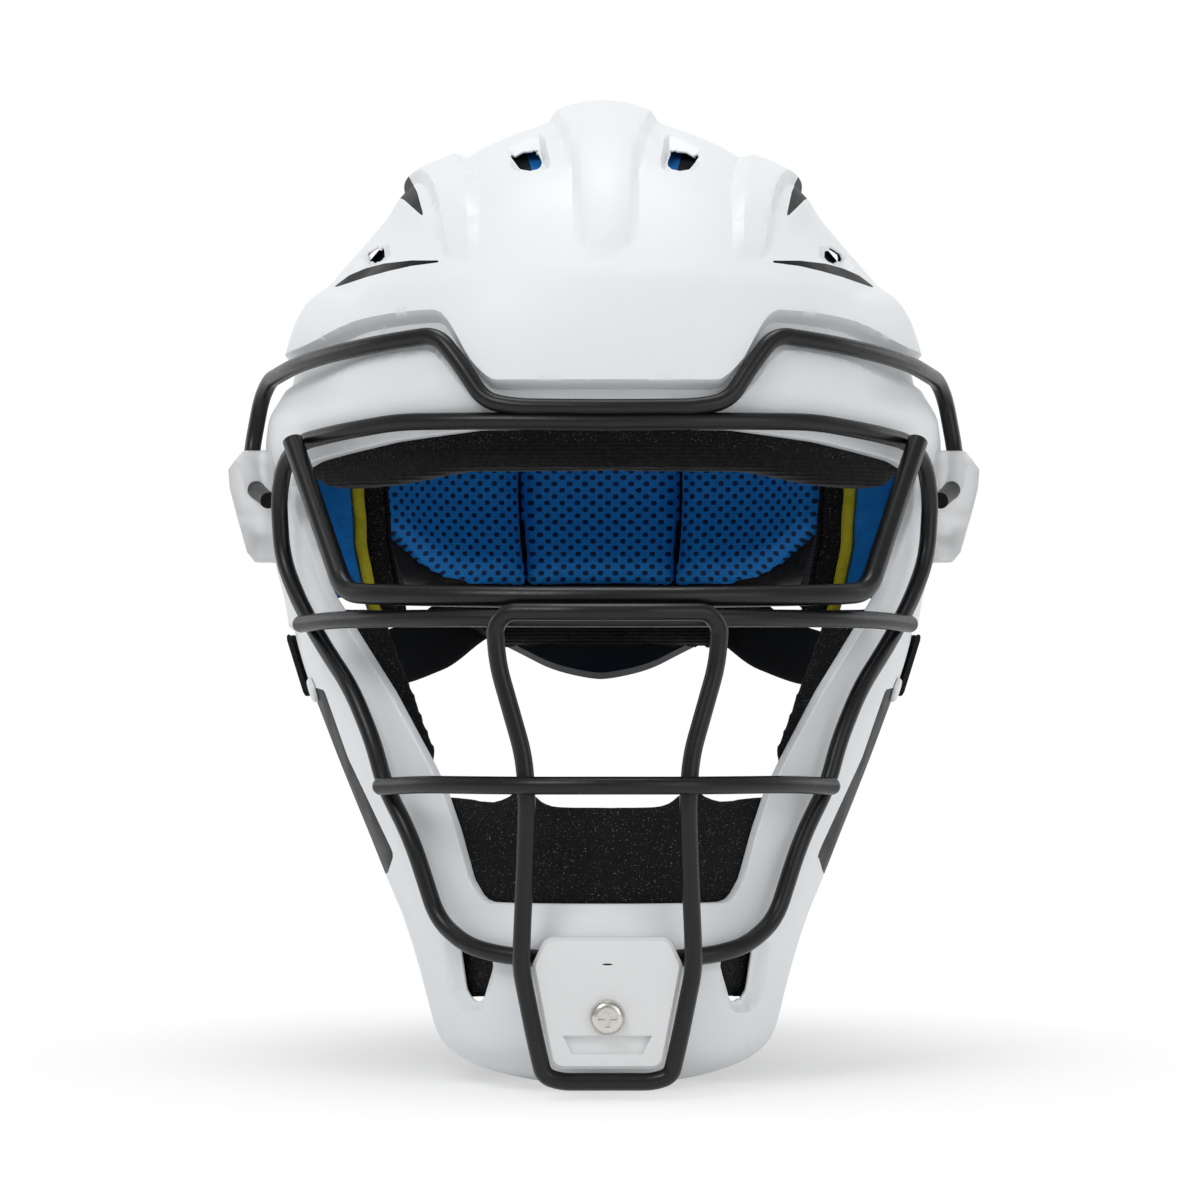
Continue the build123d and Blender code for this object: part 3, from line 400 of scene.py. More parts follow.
def form(p):
    """How far the shell stands out from its plain form: ridges, brim, brow band and turned-in rims."""
    up = ramp((p[:, 2] / shell_height - ridge_foot_share) / (ridge_full_share - ridge_foot_share))
    across = np.abs(p[:, 0]) / (crown_ridge_half(p[:, 1] / shell_half_length) * shell_half_width)
    middle = ramp(crown_ridge_field(p) / ridge_slope + 1 / 2)
    middle = middle * (1 - crown_hollow * np.minimum(across, 1) ** 2)
    side = ramp(side_ridge_field(p) / ridge_slope + 1 / 2)
    above = brim_field(p)
    lip = ramp(above / step_run + 1 / 2) * np.exp(-over_crest(p) / crest_fade)
    high = np.maximum(ridge_height * up * np.maximum(middle, side), brim_height * lip * forward(p))
    beside = -opening_field(p)
    below = band_field(p)
    band = ramp(below / step_run + 1 / 2) * ramp(beside / band_end_run) * forward(p)
    high = high + brow_band_height * band * (p[:, 2] > band_low_share * shell_height)
    low = ramp((flange_extra_share - p[:, 2] / shell_height) / flange_extra_run)
    deep = flange_depth + flange_extra * low
    off = beside / flange_reach
    flange = deep * (1 - 0.6 * ramp(off) - 0.4 * np.clip(off, 0, 1)) * (p[:, 1] < 0)
    return high - flange - flattened(p)


def relief(p):
    """The same with the vents sunk in it."""
    sunk = top_vent_depth * ramp(top_vent(p) / vent_slope) + side_vent_depth * ramp(side_vent(p) / vent_slope)
    return form(p) - sunk - chin_vent_depth * ramp(chin_vent(p) / chin_vent_slope + 1)


def sides(triangles, ordered=True):
    """The ends of each triangle's three sides, all the first sides before all the second ones."""
    ends = np.concatenate([triangles[:, [0, 1]], triangles[:, [1, 2]], triangles[:, [2, 0]]])
    return np.sort(ends, 1) if ordered else ends


def divide(angles, triangles, cut):
    """The mesh with edges cut where a function of their ends says, from 0 to 1 along them, nan for no cut."""
    edges, back = np.unique(sides(triangles), axis=0, return_inverse=True)
    back = back.reshape(3, -1).T
    t = cut(edges)
    chosen = ~np.isnan(t)
    new_index = np.full(len(edges), -1)
    new_index[chosen] = len(angles) + np.arange(chosen.sum())
    a, b = edges[chosen].T
    angles = np.concatenate([angles, angles[a] + (angles[b] - angles[a]) * t[chosen, None]])
    cuts = new_index[back]
    count = (cuts >= 0).sum(1)
    result = [triangles[count == 0]]
    for corner in range(3):
        here, after, before = corner, (corner + 1) % 3, (corner + 2) % 3
        rows = (count == 1) & (cuts[:, here] >= 0)
        tri, middle = triangles[rows], cuts[rows, here]
        result.append(np.stack([tri[:, here], middle, tri[:, before]], 1))
        result.append(np.stack([middle, tri[:, after], tri[:, before]], 1))
        rows = (count == 2) & (cuts[:, here] >= 0) & (cuts[:, before] >= 0)
        tri, first, last = triangles[rows], cuts[rows, here], cuts[rows, before]
        result.append(np.stack([tri[:, here], first, last], 1))
        result.append(np.stack([first, tri[:, after], tri[:, before]], 1))
        result.append(np.stack([first, tri[:, before], last], 1))
        rows = count == 3
        tri, first, last = triangles[rows], cuts[rows, here], cuts[rows, before]
        result.append(np.stack([tri[:, here], first, last], 1))
    result.append(cuts[count == 3])
    return angles, np.concatenate(result)


met = {"angles": np.zeros((0, 2)), "points": np.zeros((0, 3)), "normals": np.zeros((0, 3))}


def on_fan(angles):
    """Where the fan's rays meet the shell, and the normals there; rays met before aren't cast again."""
    known = len(met["angles"])
    if known > len(angles) or not np.array_equal(angles[:known], met["angles"]):
        known = 0
    points, normals = cast(*fan_rays(angles[known:]))
    met["angles"] = angles
    met["points"] = np.concatenate([met["points"][:known], points])
    met["normals"] = np.concatenate([met["normals"][:known], normals])
    return met["points"], met["normals"]


def split(angles, triangles, field, offset):
    """The mesh cut along the line where a field equals an offset, with vertices on that line."""
    points, _ = on_fan(angles)
    value = field(points) - offset
    value = np.where(np.abs(value) < 0.02, 0.02, value)

    def cut(edges):
        a, b = value[edges].T
        return np.where((a > 0) != (b > 0), a / np.where(a == b, 1, a - b), np.nan)

    return divide(angles, triangles, cut)


def refine(angles, triangles, field, reach):
    """The mesh with every triangle near a field's line cut into four."""
    points, _ = on_fan(angles)
    near = np.abs(field(points[triangles].mean(1))) < reach
    key = np.array([len(angles), 1])
    wanted = np.unique(sides(triangles[near]) @ key)
    return divide(angles, triangles, lambda pairs: np.where(np.isin(pairs @ key, wanted), 0.5, np.nan))


def without(angles, triangles, field, offset=0.0):
    """The mesh with what lies past a line taken away."""
    angles, triangles = split(angles, triangles, field, offset)
    points, _ = on_fan(angles)
    middle = points[triangles].mean(1)
    return angles, triangles[field(middle) - offset < 0]


def new_mesh(name, vertices, faces, materials, face_material=None, smooth=True):
    """A Blender object from arrays in metres."""
    mesh = bpy.data.meshes.new(name)
    mesh.from_pydata(np.asarray(vertices, float).tolist(), [], [tuple(int(i) for i in f) for f in faces])
    for material in materials:
        mesh.materials.append(material)
    if face_material is not None:
        mesh.polygons.foreach_set("material_index", np.asarray(face_material, np.int32))
    mesh.polygons.foreach_set("use_smooth", [smooth] * len(mesh.polygons))
    mesh.update()
    piece = bpy.data.objects.new(name, mesh)
    bpy.context.scene.collection.objects.link(piece)
    return piece


def grid_corners(rows, columns):
    """The numbers of a grid's points, and of the four corners of each of its cells."""
    index = np.arange(rows * columns).reshape(rows, columns)
    corners = index[:-1, :-1], index[:-1, 1:], index[1:, 1:], index[1:, :-1]
    return index, [corner.ravel() for corner in corners]


def closed(piece, fill=False):
    """Drops loose points, fills open ends where asked and turns every face outwards."""
    work = bmesh.new()
    work.from_mesh(piece.data)
    loose = [v for v in work.verts if not v.link_faces]
    bmesh.ops.delete(work, geom=loose, context="VERTS")
    if fill:
        bmesh.ops.holes_fill(work, edges=work.edges, sides=0)
    bmesh.ops.recalc_face_normals(work, faces=work.faces)
    work.to_mesh(piece.data)
    work.free()


def crease(piece, degrees):
    """Keeps edges sharper than an angle crisp in the shading."""
    work = bmesh.new()
    work.from_mesh(piece.data)
    limit = math.radians(degrees)
    for edge in work.edges:
        edge.smooth = not (len(edge.link_faces) == 2 and edge.calc_face_angle(0) > limit)
    work.to_mesh(piece.data)
    work.free()


def shell_piece(materials):
    """The moulded shell, drawn on a fan of rays, cut along its lines and given its wall."""
    rows, columns = ((260, 190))
    turns, leans = np.linspace(-38, 162, rows), np.linspace(-73.5, 73.5, columns)
    grid = np.stack(np.meshgrid(turns, leans, indexing="ij"), -1).reshape(-1, 2)
    _, (a, b, c, d) = grid_corners(rows, columns)
    angles, triangles = grid, np.concatenate([np.stack([a, b, c], 1), np.stack([a, c, d], 1)])
    holes = (top_vent_hole, rear_vent_hole, side_vent_hole, chin_vent)
    for field in (opening_field, neck_field, *holes):
        angles, triangles = without(angles, triangles, field)
    half_slope, half_step = ridge_slope / 2, step_run / 2
    lines = [
        (brim_field, (-half_step, 0.0, half_step)), (band_field, (-half_step, half_step)),
        (opening_field, (-3.0, -6.5, -10.0, -flange_reach)),
        (crown_ridge_field, (-half_slope, half_slope)), (side_ridge_field, (-half_slope, half_slope)),
        (top_vent, (0.0,)), (side_vent, (0.0,)), (chin_vent, (-chin_vent_slope, -chin_vent_slope / 2)),
        (upper_accent, (0.0,)), (lower_accent, (0.0,)), (jaw_accent, (0.0,)),
    ]
    for field in (upper_accent, lower_accent):
        for reach in (12, 8, 5):
            angles, triangles = refine(angles, triangles, field, reach)
    for field in (top_vent, side_vent):
        angles, triangles = refine(angles, triangles, field, 8)
    for field, offsets in lines:
        for offset in offsets:
            angles, triangles = split(angles, triangles, field, offset)
    used, triangles = np.unique(triangles, return_inverse=True)
    triangles = triangles.reshape(-1, 3)
    points, normals = (values[used] for values in on_fan(angles))
    height = relief(points)
    outer = points + normals * height[:, None]
    thin = np.zeros(len(points))
    for field in holes:
        thin = np.maximum(thin, ramp((field(points) + 8) / vent_slope))
    under = (1 - thin) * (np.minimum(height, inner_relief) - shell_wall) + thin * (height - vent_rim_wall)
    inner = points + normals * under[:, None]
    edges = sides(triangles, ordered=False)
    _, first, count = np.unique(np.sort(edges, 1), axis=0, return_index=True, return_counts=True)
    rim = edges[first[count == 1]]
    total = len(points)
    middle = points[triangles].mean(1)
    painted = (upper_accent(middle) > 0) | (lower_accent(middle) > 0) | (jaw_accent(middle) > 0)
    away = np.zeros((total, 3))
    for start, end in rim:
        side = np.cross(outer[end] - outer[start], normals[start])
        away[start] += side
        away[end] += side
    length = np.maximum(np.linalg.norm(away, axis=1, keepdims=True), 1e-9)
    away = away / length
    # Each ring of the rounded rim: its share of the way through the wall, and how far it swells out
    rings = [outer]
    for share, swell in ((0.14, 0.42), (0.5, 0.55), (0.86, 0.42)):
        rings.append(outer * (1 - share) + inner * share + away * swell)
    rings.append(inner)
    faces, tints = [triangles], [painted.astype(int)]
    for i in range(len(rings) - 1):
        faces.append(np.concatenate([rim[:, ::-1] + i * total, rim + (i + 1) * total], 1))
        tints.append(np.zeros(len(rim), int))
    faces.append(triangles[:, ::-1] + (len(rings) - 1) * total)
    # Inside faces round the vent holes take the black accent finish as painted shade, so that the holes read
    # dark
    tints.append(np.where(thin[triangles].mean(1) > 0.05, 1, 2))
    everything = [face for group in faces for face in group]
    vertices = in_frame(np.concatenate(rings))
    piece = new_mesh("shell_moulding", vertices, everything, materials, np.concatenate(tints))
    closed(piece)
    crease(piece, 34)
    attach(piece, helmet)
    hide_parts("shell")
    return piece


class Finish:
    """A procedural material, built node by node."""

    def __init__(self, name, colour, roughness, metallic=0.0):
        self.material = bpy.data.materials.new(name)
        self.material.use_nodes = True
        self.nodes = self.material.node_tree.nodes
        self.links = self.material.node_tree.links
        self.shader = self.nodes["Principled BSDF"]
        self.shader.inputs["Base Color"].default_value = (*colour, 1)
        self.shader.inputs["Roughness"].default_value = roughness
        self.shader.inputs["Metallic"].default_value = metallic
        self.place = self.nodes.new("ShaderNodeTexCoord").outputs["Object"]
        self.height = None

    def set(self, **values):
        for name, value in values.items():
            self.shader.inputs[name.replace("_", " ")].default_value = value
        return self

    def noise(self, scale, detail=3.0, stretch=None):
        place = self.place
        if stretch:
            mapping = self.nodes.new("ShaderNodeMapping")
            mapping.inputs["Scale"].default_value = stretch
            self.links.new(place, mapping.inputs["Vector"])
            place = mapping.outputs["Vector"]
        node = self.nodes.new("ShaderNodeTexNoise")
        node.inputs["Scale"].default_value = scale
        node.inputs["Detail"].default_value = detail
        self.links.new(place, node.inputs["Vector"])
        return node.outputs["Fac"]

    def cells(self, scale, feature="F1"):
        node = self.nodes.new("ShaderNodeTexVoronoi")
        node.feature = feature
        node.inputs["Scale"].default_value = scale
        self.links.new(self.place, node.inputs["Vector"])
        return node.outputs["Distance"]

    def maths(self, operation, *values):
        node = self.nodes.new("ShaderNodeMath")
        node.operation = operation
        for socket, value in zip(node.inputs, values):
            if isinstance(value, (int, float)):
                socket.default_value = value
            else:
                self.links.new(value, socket)
        return node.outputs[0]

    def spread(self, value, low, high, to_low, to_high):
        node = self.nodes.new("ShaderNodeMapRange")
        self.links.new(value, node.inputs["Value"])
        for name, number in (("From Min", low), ("From Max", high), ("To Min", to_low), ("To Max", to_high)):
            node.inputs[name].default_value = number
        return node.outputs["Result"]

    def colour(self, value, low, high):
        """Colours the surface between two tints by a value from 0 to 1."""
        node = self.nodes.new("ShaderNodeMix")
        node.data_type = "RGBA"
        node.inputs["A"].default_value = (*low, 1)
        node.inputs["B"].default_value = (*high, 1)
        self.links.new(value, node.inputs["Factor"])
        self.links.new(node.outputs["Result"], self.shader.inputs["Base Color"])
        return self

    def rough(self, value, low, high):
        self.links.new(self.spread(value, 0.3, 0.7, low, high), self.shader.inputs["Roughness"])
        return self

    def bump(self, value, distance, strength=1.0):
        """Adds relief of a real height, in metres, over any that is there already."""
        node = self.nodes.new("ShaderNodeBump")
        node.inputs["Distance"].default_value = distance
        node.inputs["Strength"].default_value = strength
        self.links.new(value, node.inputs["Height"])
        if self.height is not None:
            self.links.new(self.height, node.inputs["Normal"])
        self.height = node.outputs["Normal"]
        self.links.new(self.height, self.shader.inputs["Normal"])
        return self


def shell_white():
    finish = Finish("shell_matte_white", (0.80, 0.83, 0.85), 0.46)
    finish.set(Coat_Weight=0.04, Coat_Roughness=0.35)
    cloud = finish.noise(9, 4)
    finish.colour(finish.spread(cloud, 0.3, 0.7, 0, 1), (0.79, 0.822, 0.845), (0.815, 0.84, 0.858))
    finish.rough(finish.noise(60, 3), 0.40, 0.52)
    return finish.bump(finish.noise(1400, 2), 0.00002, 0.35)


def smooth_finish(name, tint, roughness, cloud, rough, grain, metallic=0.0, stretch=None, **settings):
    """A smooth finish: noise scale, detail and range of its tint, its roughness and its fine relief."""
    finish = Finish(name, tint, roughness, metallic)
    finish.set(**settings)
    if cloud:
        finish.colour(finish.noise(*cloud[:2]), *cloud[2:])
    if rough:
        finish.rough(finish.noise(*rough[:2], stretch), *rough[2:])
    return finish.bump(finish.noise(*grain[:2]), *grain[2:])


# Black two-tone paint of the accents, also laid inside the shell round the vent holes as painted shade
def shell_accent():
    return smooth_finish(
        "shell_accent_and_vent_shade", (0.006, 0.006, 0.0065), 0.6,
        (40, 4, (0.005, 0.005, 0.0055), (0.008, 0.008, 0.0085)), (90, 2, 0.42, 0.55),
        (1600, 2, 0.00002, 0.4), Specular_IOR_Level=0.12)


def shell_inside():
    return smooth_finish(
        "shell_inside", (0.55, 0.57, 0.58), 0.55, (20, 3, (0.52, 0.54, 0.55), (0.60, 0.61, 0.62)),
        None, (900, 2, 0.00003, 0.4))


def powder_coat():
    return smooth_finish(
        "cage_powder_coat", (0.012, 0.013, 0.014), 0.38,
        (120, 4, (0.0032, 0.0034, 0.0038), (0.0058, 0.006, 0.0066)), (700, 3, 0.28, 0.40),
        (2600, 2, 0.00004, 0.5), Specular_IOR_Level=0.35, Coat_Weight=0.06, Coat_Roughness=0.2)


def frosted(name, depth):
    return smooth_finish(
        name, (0.93, 0.94, 0.95), 0.42, (30, 3, (0.92, 0.93, 0.94), (0.96, 0.965, 0.97)),
        (200, 3, 0.34, 0.50), (1500, 2, 0.00003, 0.5),
        Transmission_Weight=depth, IOR=1.40, Specular_IOR_Level=0.4)


def nickel():
    return smooth_finish(
        "screw_nickel", (0.66, 0.64, 0.60), 0.22, (300, 4, (0.60, 0.58, 0.54), (0.72, 0.70, 0.66)),
        (500, 3, 0.14, 0.34), (1500, 2, 0.00002, 0.3), metallic=1.0, stretch=(1, 1, 6))


def dark_metal():
    return smooth_finish(
        "rivet_dark", (0.12, 0.12, 0.125), 0.32, None, (500, 3, 0.24, 0.42),
        (1500, 2, 0.00002, 0.3), metallic=1.0)


def foam(name, dark, light):
    finish = Finish(name, dark, 0.85)
    finish.set(Specular_IOR_Level=0.25, Sheen_Weight=0.05, Sheen_Roughness=0.6)
    finish.colour(finish.spread(finish.noise(260, 4), 0.3, 0.7, 0, 1), dark, light)
    finish.bump(finish.cells(900), 0.00025, 0.5)
    return finish.bump(finish.noise(120, 3), 0.0004, 0.3)


def knit(name="knit_black", dark=(0.003, 0.003, 0.0035), light=(0.012, 0.012, 0.013)):
    finish = Finish(name, dark, 0.85)
    finish.set(Specular_IOR_Level=0.2, Sheen_Weight=0.06, Sheen_Roughness=0.45)
    rows = finish.nodes.new("ShaderNodeTexWave")
    rows.bands_direction = "Z"
    rows.inputs["Scale"].default_value = 260
    rows.inputs["Distortion"].default_value = 1.5
    rows.inputs["Detail"].default_value = 2
    finish.links.new(finish.place, rows.inputs["Vector"])
    finish.colour(finish.spread(finish.noise(700, 3), 0.35, 0.75, 0, 1), dark, light)
    finish.bump(rows.outputs["Fac"], 0.0005, 0.8)
    return finish.bump(finish.cells(1100), 0.0002, 0.6)


def sparkle_foam():
    """Black foam with a fleck in it."""
    finish = Finish("foam_black_fleck", (0.008, 0.008, 0.009), 0.8)
    finish.set(Specular_IOR_Level=0.2, Sheen_Weight=0.04, Sheen_Roughness=0.5)
    flecks = finish.spread(finish.noise(2200, 2), 0.64, 0.72, 0, 1)
    finish.colour(flecks, (0.004, 0.004, 0.0045), (0.16, 0.16, 0.17))
    finish.bump(finish.cells(700), 0.0005, 0.8)
    return finish.bump(finish.noise(300, 3), 0.0003, 0.4)


def plate_plastic():
    return smooth_finish(
        "plate_dark", (0.022, 0.026, 0.030), 0.42, (50, 3, (0.020, 0.024, 0.028), (0.028, 0.032, 0.037)),
        (120, 3, 0.34, 0.50), (1200, 2, 0.00003, 0.4))


def webbing():
    finish = Finish("webbing_black", (0.012, 0.012, 0.013), 0.75)
    finish.set(Specular_IOR_Level=0.2, Sheen_Weight=0.06, Sheen_Roughness=0.5)
    finish.colour(finish.noise(900, 3), (0.005, 0.005, 0.006), (0.014, 0.014, 0.015))
    return finish.bump(finish.cells(1400), 0.0002, 0.7)


def mesh_blue():
    """Spacer mesh: bright yarn round oval holes darkened with painted shade, set out in staggered rows round
    the helmet.
    """
    finish = Finish("mesh_blue", (0.004, 0.17, 0.56), 0.6)
    finish.set(Specular_IOR_Level=0.3, Sheen_Weight=0.1, Sheen_Roughness=0.4)
    parts = finish.nodes.new("ShaderNodeSeparateXYZ")
    finish.links.new(finish.place, parts.inputs[0])
    maths = finish.maths
    pitch, mesh_radius = 0.0043, 0.100
    around = maths("MULTIPLY", maths("ARCTAN2", parts.outputs["X"], parts.outputs["Y"]), mesh_radius)
    across = maths("MULTIPLY", around, 2 * math.pi / pitch)
    along = maths("MULTIPLY", parts.outputs["Z"], 2 * math.pi / (pitch * 1.05))
    weave = maths("MULTIPLY", maths("COSINE", across), maths("COSINE", along))
    holes = finish.spread(weave, 0.30, 0.52, 0, 1)
    # The holes get a near black blue: painted shade standing for their depth
    finish.colour(holes, (0.007, 0.25, 0.78), (0.001, 0.022, 0.090))
    finish.bump(maths("SUBTRACT", 1.0, holes), 0.0008, 0.7)
    return finish.bump(finish.noise(1500, 2), 0.0002, 0.4)


finishes = {
    "shell": shell_white(), "accent": shell_accent(), "inside": shell_inside(), "wire": powder_coat(),
    "clip": frosted("clip_frosted", 0.6), "chin_clip": frosted("chin_clip_frosted", 0.2), "screw": nickel(),
    "rivet": dark_metal(), "dark_foam": foam("foam_black", (0.006, 0.006, 0.007), (0.022, 0.022, 0.024)),
    "blue_foam": foam("foam_blue", (0.002, 0.15, 0.50), (0.006, 0.20, 0.62)),
    "yellow_foam": foam("foam_yellow", (0.42, 0.37, 0.012), (0.56, 0.50, 0.03)),
    "lining": foam("lining_teal", (0.02, 0.16, 0.22), (0.05, 0.26, 0.33)),
    "sparkle_foam": sparkle_foam(), "knit": knit(), "mesh": mesh_blue(), "webbing": webbing(),
    "hook": foam("hook_black", (0.008, 0.008, 0.009), (0.02, 0.02, 0.022)), "plate": plate_plastic(),
}


slots = {part["node"]: part["material_slot"] for part in frame["record"]["subparts"]}


def dress_nodes():
    """Gives every CAD node that shows the finish of its slot."""
    for name, node in frame["nodes"].items():
        node.data.materials.clear()
        finish = "shell" if name == "jaw_rivets" else slots[name]
        node.data.materials.append(finishes[finish].material)


def stage():
    """A pale floor that turns into a white backdrop, with soft lamps all round."""
    half, back = 3.0, 3.0
    floor_finish = Finish("stage_white", (0.93, 0.93, 0.93), 0.9)
    nodes, links = floor_finish.nodes, floor_finish.links
    light = nodes.new("ShaderNodeEmission")
    light.inputs["Color"].default_value = (1, 1, 1, 1)
    rays = nodes.new("ShaderNodeLightPath").outputs
    seen = floor_finish.maths("MAXIMUM", rays["Is Glossy Ray"], rays["Is Transmission Ray"])
    seen = floor_finish.maths("MAXIMUM", rays["Is Camera Ray"], seen)
    gradient = nodes.new("ShaderNodeVectorMath")
    gradient.operation = "LENGTH"
    links.new(floor_finish.place, gradient.inputs[0])
    far = floor_finish.spread(gradient.outputs["Value"], 0.05, 0.20, 0.35, 1)
    mix = nodes.new("ShaderNodeMixShader")
    links.new(floor_finish.maths("MULTIPLY", far, seen), mix.inputs["Fac"])
    links.new(floor_finish.shader.outputs[0], mix.inputs[1])
    links.new(light.outputs[0], mix.inputs[2])
    links.new(mix.outputs[0], nodes["Material Output"].inputs["Surface"])
    profile = [(-half, 0.0), (half * 0.5, 0.0)]
    profile += [(half * 0.5 + math.sin(a), 1 - math.cos(a)) for a in np.linspace(0.05, math.pi / 2, 12)]
    profile += [(half * 0.5 + 1, 1 + back)]
    vertices, faces = [], []
    for y, z in profile:
        vertices += [(-half, y, z), (half, y, z)]
    for i in range(len(profile) - 1):
        faces.append((2 * i, 2 * i + 1, 2 * i + 3, 2 * i + 2))
    floor = new_mesh("stage_floor", vertices, faces, [floor_finish.material])
    world = bpy.data.worlds.new("studio")
    bpy.context.scene.world = world
    world.use_nodes = True
    world.node_tree.nodes["Background"].inputs["Color"].default_value = (1, 1, 1, 1)
    world.node_tree.nodes["Background"].inputs["Strength"].default_value = 0.42
    lamps = [("key", (-0.7, -1.2, 1.3), 0.7, 8.8), ("fill", (0.9, -1.3, 0.6), 1.0, 4.0),
             ("top", (0.0, 0.1, 1.5), 0.7, 6.2), ("left_rim", (-1.3, 0.5, 0.5), 0.7, 2.5),
             ("right_rim", (1.3, 0.5, 0.5), 0.7, 2.5)]
    aim = Vector((0, 0, 0.17))
    for name, place, size, power in lamps:
        data = bpy.data.lights.new(name, "AREA")
        data.size = size
        data.energy = power
        lamp = bpy.data.objects.new(name, data)
        lamp.location = place
        lamp.rotation_euler = (aim - Vector(place)).to_track_quat("-Z", "Y").to_euler()
        bpy.context.scene.collection.objects.link(lamp)


def camera():
    """The photograph's view: level, from the front, a long lens."""
    data = bpy.data.cameras.new("camera")
    data.sensor_width = 36
    data.lens = 36 * camera_distance / (pixel_scale * 2 * picture_middle)
    view = bpy.data.objects.new("camera", data)
    turn = math.radians(camera_turn)
    aim = np.array([(picture_middle - helmet_middle_pixel) * pixel_scale, 0, camera_height])
    place = aim + camera_distance * np.array([-math.sin(turn), -math.cos(turn), 0])
    view.location = Vector(in_frame(place))
    view.rotation_euler = (math.pi / 2, 0, -turn)
    bpy.context.scene.collection.objects.link(view)
    bpy.context.scene.camera = view


def round_middle(turns, heights, sign=1):
    """Level rays from the helmet's middle, turned in degrees to +X from straight back, or front for -1."""
    origins = np.zeros((len(turns), 3))
    origins[:, 1] = fan_y_share * shell_half_length / 2 * sign
    origins[:, 2] = heights * shell_height
    turns = np.radians(turns)
    return origins, np.stack([np.sin(turns), sign * np.cos(turns), np.zeros_like(turns)], -1)


def unit_grid(rows, columns):
    return np.meshgrid(np.linspace(0, 1, rows), np.linspace(0, 1, columns), indexing="ij")


def band_grid(first, last, reach, low, top, rows, columns, sign=1):
    """Points and outward normals over a band between two curves of height, t up and s along it."""
    t, s = unit_grid(rows, columns)
    turn = first + (last - first) * s
    share = np.abs(turn) / reach
    height = low(share) + t * (top(share) - low(share))
    points, normals = cast(*round_middle(turn.ravel(), height.ravel(), sign))
    return points.reshape(rows, columns, 3), normals.reshape(rows, columns, 3)


def side_grid(side, front, rear, heights, rows, columns):
    """The same over a band on one side between a front and a rear edge."""
    t, s = unit_grid(rows, columns)
    height = heights[0] + t * (heights[1] - heights[0])
    along = front(height) + s * (rear(height) - front(height))
    origins = np.zeros((t.size, 3))
    origins[:, 1], origins[:, 2] = along.ravel() * shell_half_length, height.ravel() * shell_height
    ahead = np.zeros_like(origins)
    ahead[:, 0] = side
    points, normals = cast(origins, ahead)
    return points.reshape(rows, columns, 3), normals.reshape(rows, columns, 3)


def dome_grid(reach, count):
    """The same over the dome, from a place under it."""
    slants = np.tan(np.radians(np.linspace(-reach, reach, count)))
    y, x = np.meshgrid(slants, slants, indexing="ij")
    ahead = np.stack([x.ravel(), y.ravel(), np.ones(x.size)], -1)
    ahead /= np.linalg.norm(ahead, axis=1, keepdims=True)
    origin = np.array([0, dome_y_share * shell_half_length, dome_z_share * shell_height])
    points, normals = cast(np.broadcast_to(origin, ahead.shape), ahead)
    return points.reshape(count, count, 3), normals.reshape(count, count, 3)


def held(share):
    """A height that is the same all along."""
    return lambda place: np.full_like(place, share)


def pad_solid(name, grid, depth, wall, rim_share, edge_mm, materials):
    """A closed cushion under the shell: its back follows the shell, its face is crowned over its edges."""
    points, normals = grid
    rows, columns = points.shape[:2]
    t, s = unit_grid(rows, columns)
    tall = np.linalg.norm(points[-1, columns // 2] - points[0, columns // 2])
    wide = np.linalg.norm(np.diff(points[rows // 2], axis=0), axis=1).sum()
    off_edge = np.minimum(np.minimum(t, 1 - t) * tall, np.minimum(s, 1 - s) * wide) / edge_mm
    reach = 1 - np.clip(off_edge, 0, 1)
    face = rim_share + (1 - rim_share) * np.sqrt(np.maximum(0, 1 - reach ** 2))
    flat = points.reshape(-1, 3)
    tucked = np.maximum(0, -relief(flat)).reshape(rows, columns)
    back = points - normals * (depth + tucked)[..., None]
    front = points - normals * (depth + tucked + wall * face)[..., None]
    count = rows * columns
    vertices = np.concatenate([back.reshape(-1, 3), front.reshape(-1, 3)])
    index, (a, b, c, d) = grid_corners(rows, columns)
    faces = np.concatenate([np.stack([a, b, c, d], 1), np.stack([a, d, c, b], 1) + count])
    loop = np.concatenate([index[0, :-1], index[:-1, -1], index[-1, :0:-1], index[:0:-1, 0]])
    after = np.roll(loop, -1)
    faces = np.concatenate([faces, np.stack([loop, loop + count, after + count, after], 1)])
    piece = new_mesh(name, in_frame(vertices), faces, materials)
    closed(piece)
    return piece


def only(piece):
    """Makes one object the selected and active one."""
    for other in bpy.context.selected_objects:
        other.select_set(False)
    bpy.context.view_layer.objects.active = piece
    piece.select_set(True)


def applied(piece, modifier):
    only(piece)
    bpy.ops.object.modifier_apply(modifier=modifier.name)


swell_frames = 15


def inflated(piece, voxel, cap, pressure=4.0):
    """Remeshes a pad and lets simulated fabric swell over it, no further than a cap, in millimetres."""
    remesh = piece.modifiers.new("remesh", "REMESH")
    remesh.mode = "VOXEL"
    remesh.voxel_size = voxel * metre
    remesh.use_smooth_shade = True
    applied(piece, remesh)
    start = np.array([v.co for v in piece.data.vertices])
    cloth = piece.modifiers.new("cloth", "CLOTH")
    cloth.settings.quality = 5
    cloth.settings.mass = 0.3
    cloth.settings.use_pressure = True
    cloth.settings.uniform_pressure_force = pressure
    cloth.settings.tension_stiffness = 15
    cloth.settings.compression_stiffness = 15
    cloth.settings.bending_stiffness = 0.5
    cloth.settings.effector_weights.gravity = 0
    for number in range(1, swell_frames + 1):
        bpy.context.scene.frame_set(number)
    applied(piece, cloth)
    end = np.array([v.co for v in piece.data.vertices])
    move = end - start
    far = np.maximum(np.linalg.norm(move, axis=1, keepdims=True), 1e-9)
    end = start + move * np.minimum(1, cap * metre / far)
    piece.data.vertices.foreach_set("co", end.ravel())
    piece.data.update()
    bpy.context.scene.frame_set(1)
    return piece


def smoothed(piece, factor, times):
    """Evens out a mesh a little."""
    smooth = piece.modifiers.new("smooth", "SMOOTH")
    smooth.factor, smooth.iterations = factor, times
    applied(piece, smooth)
    return piece


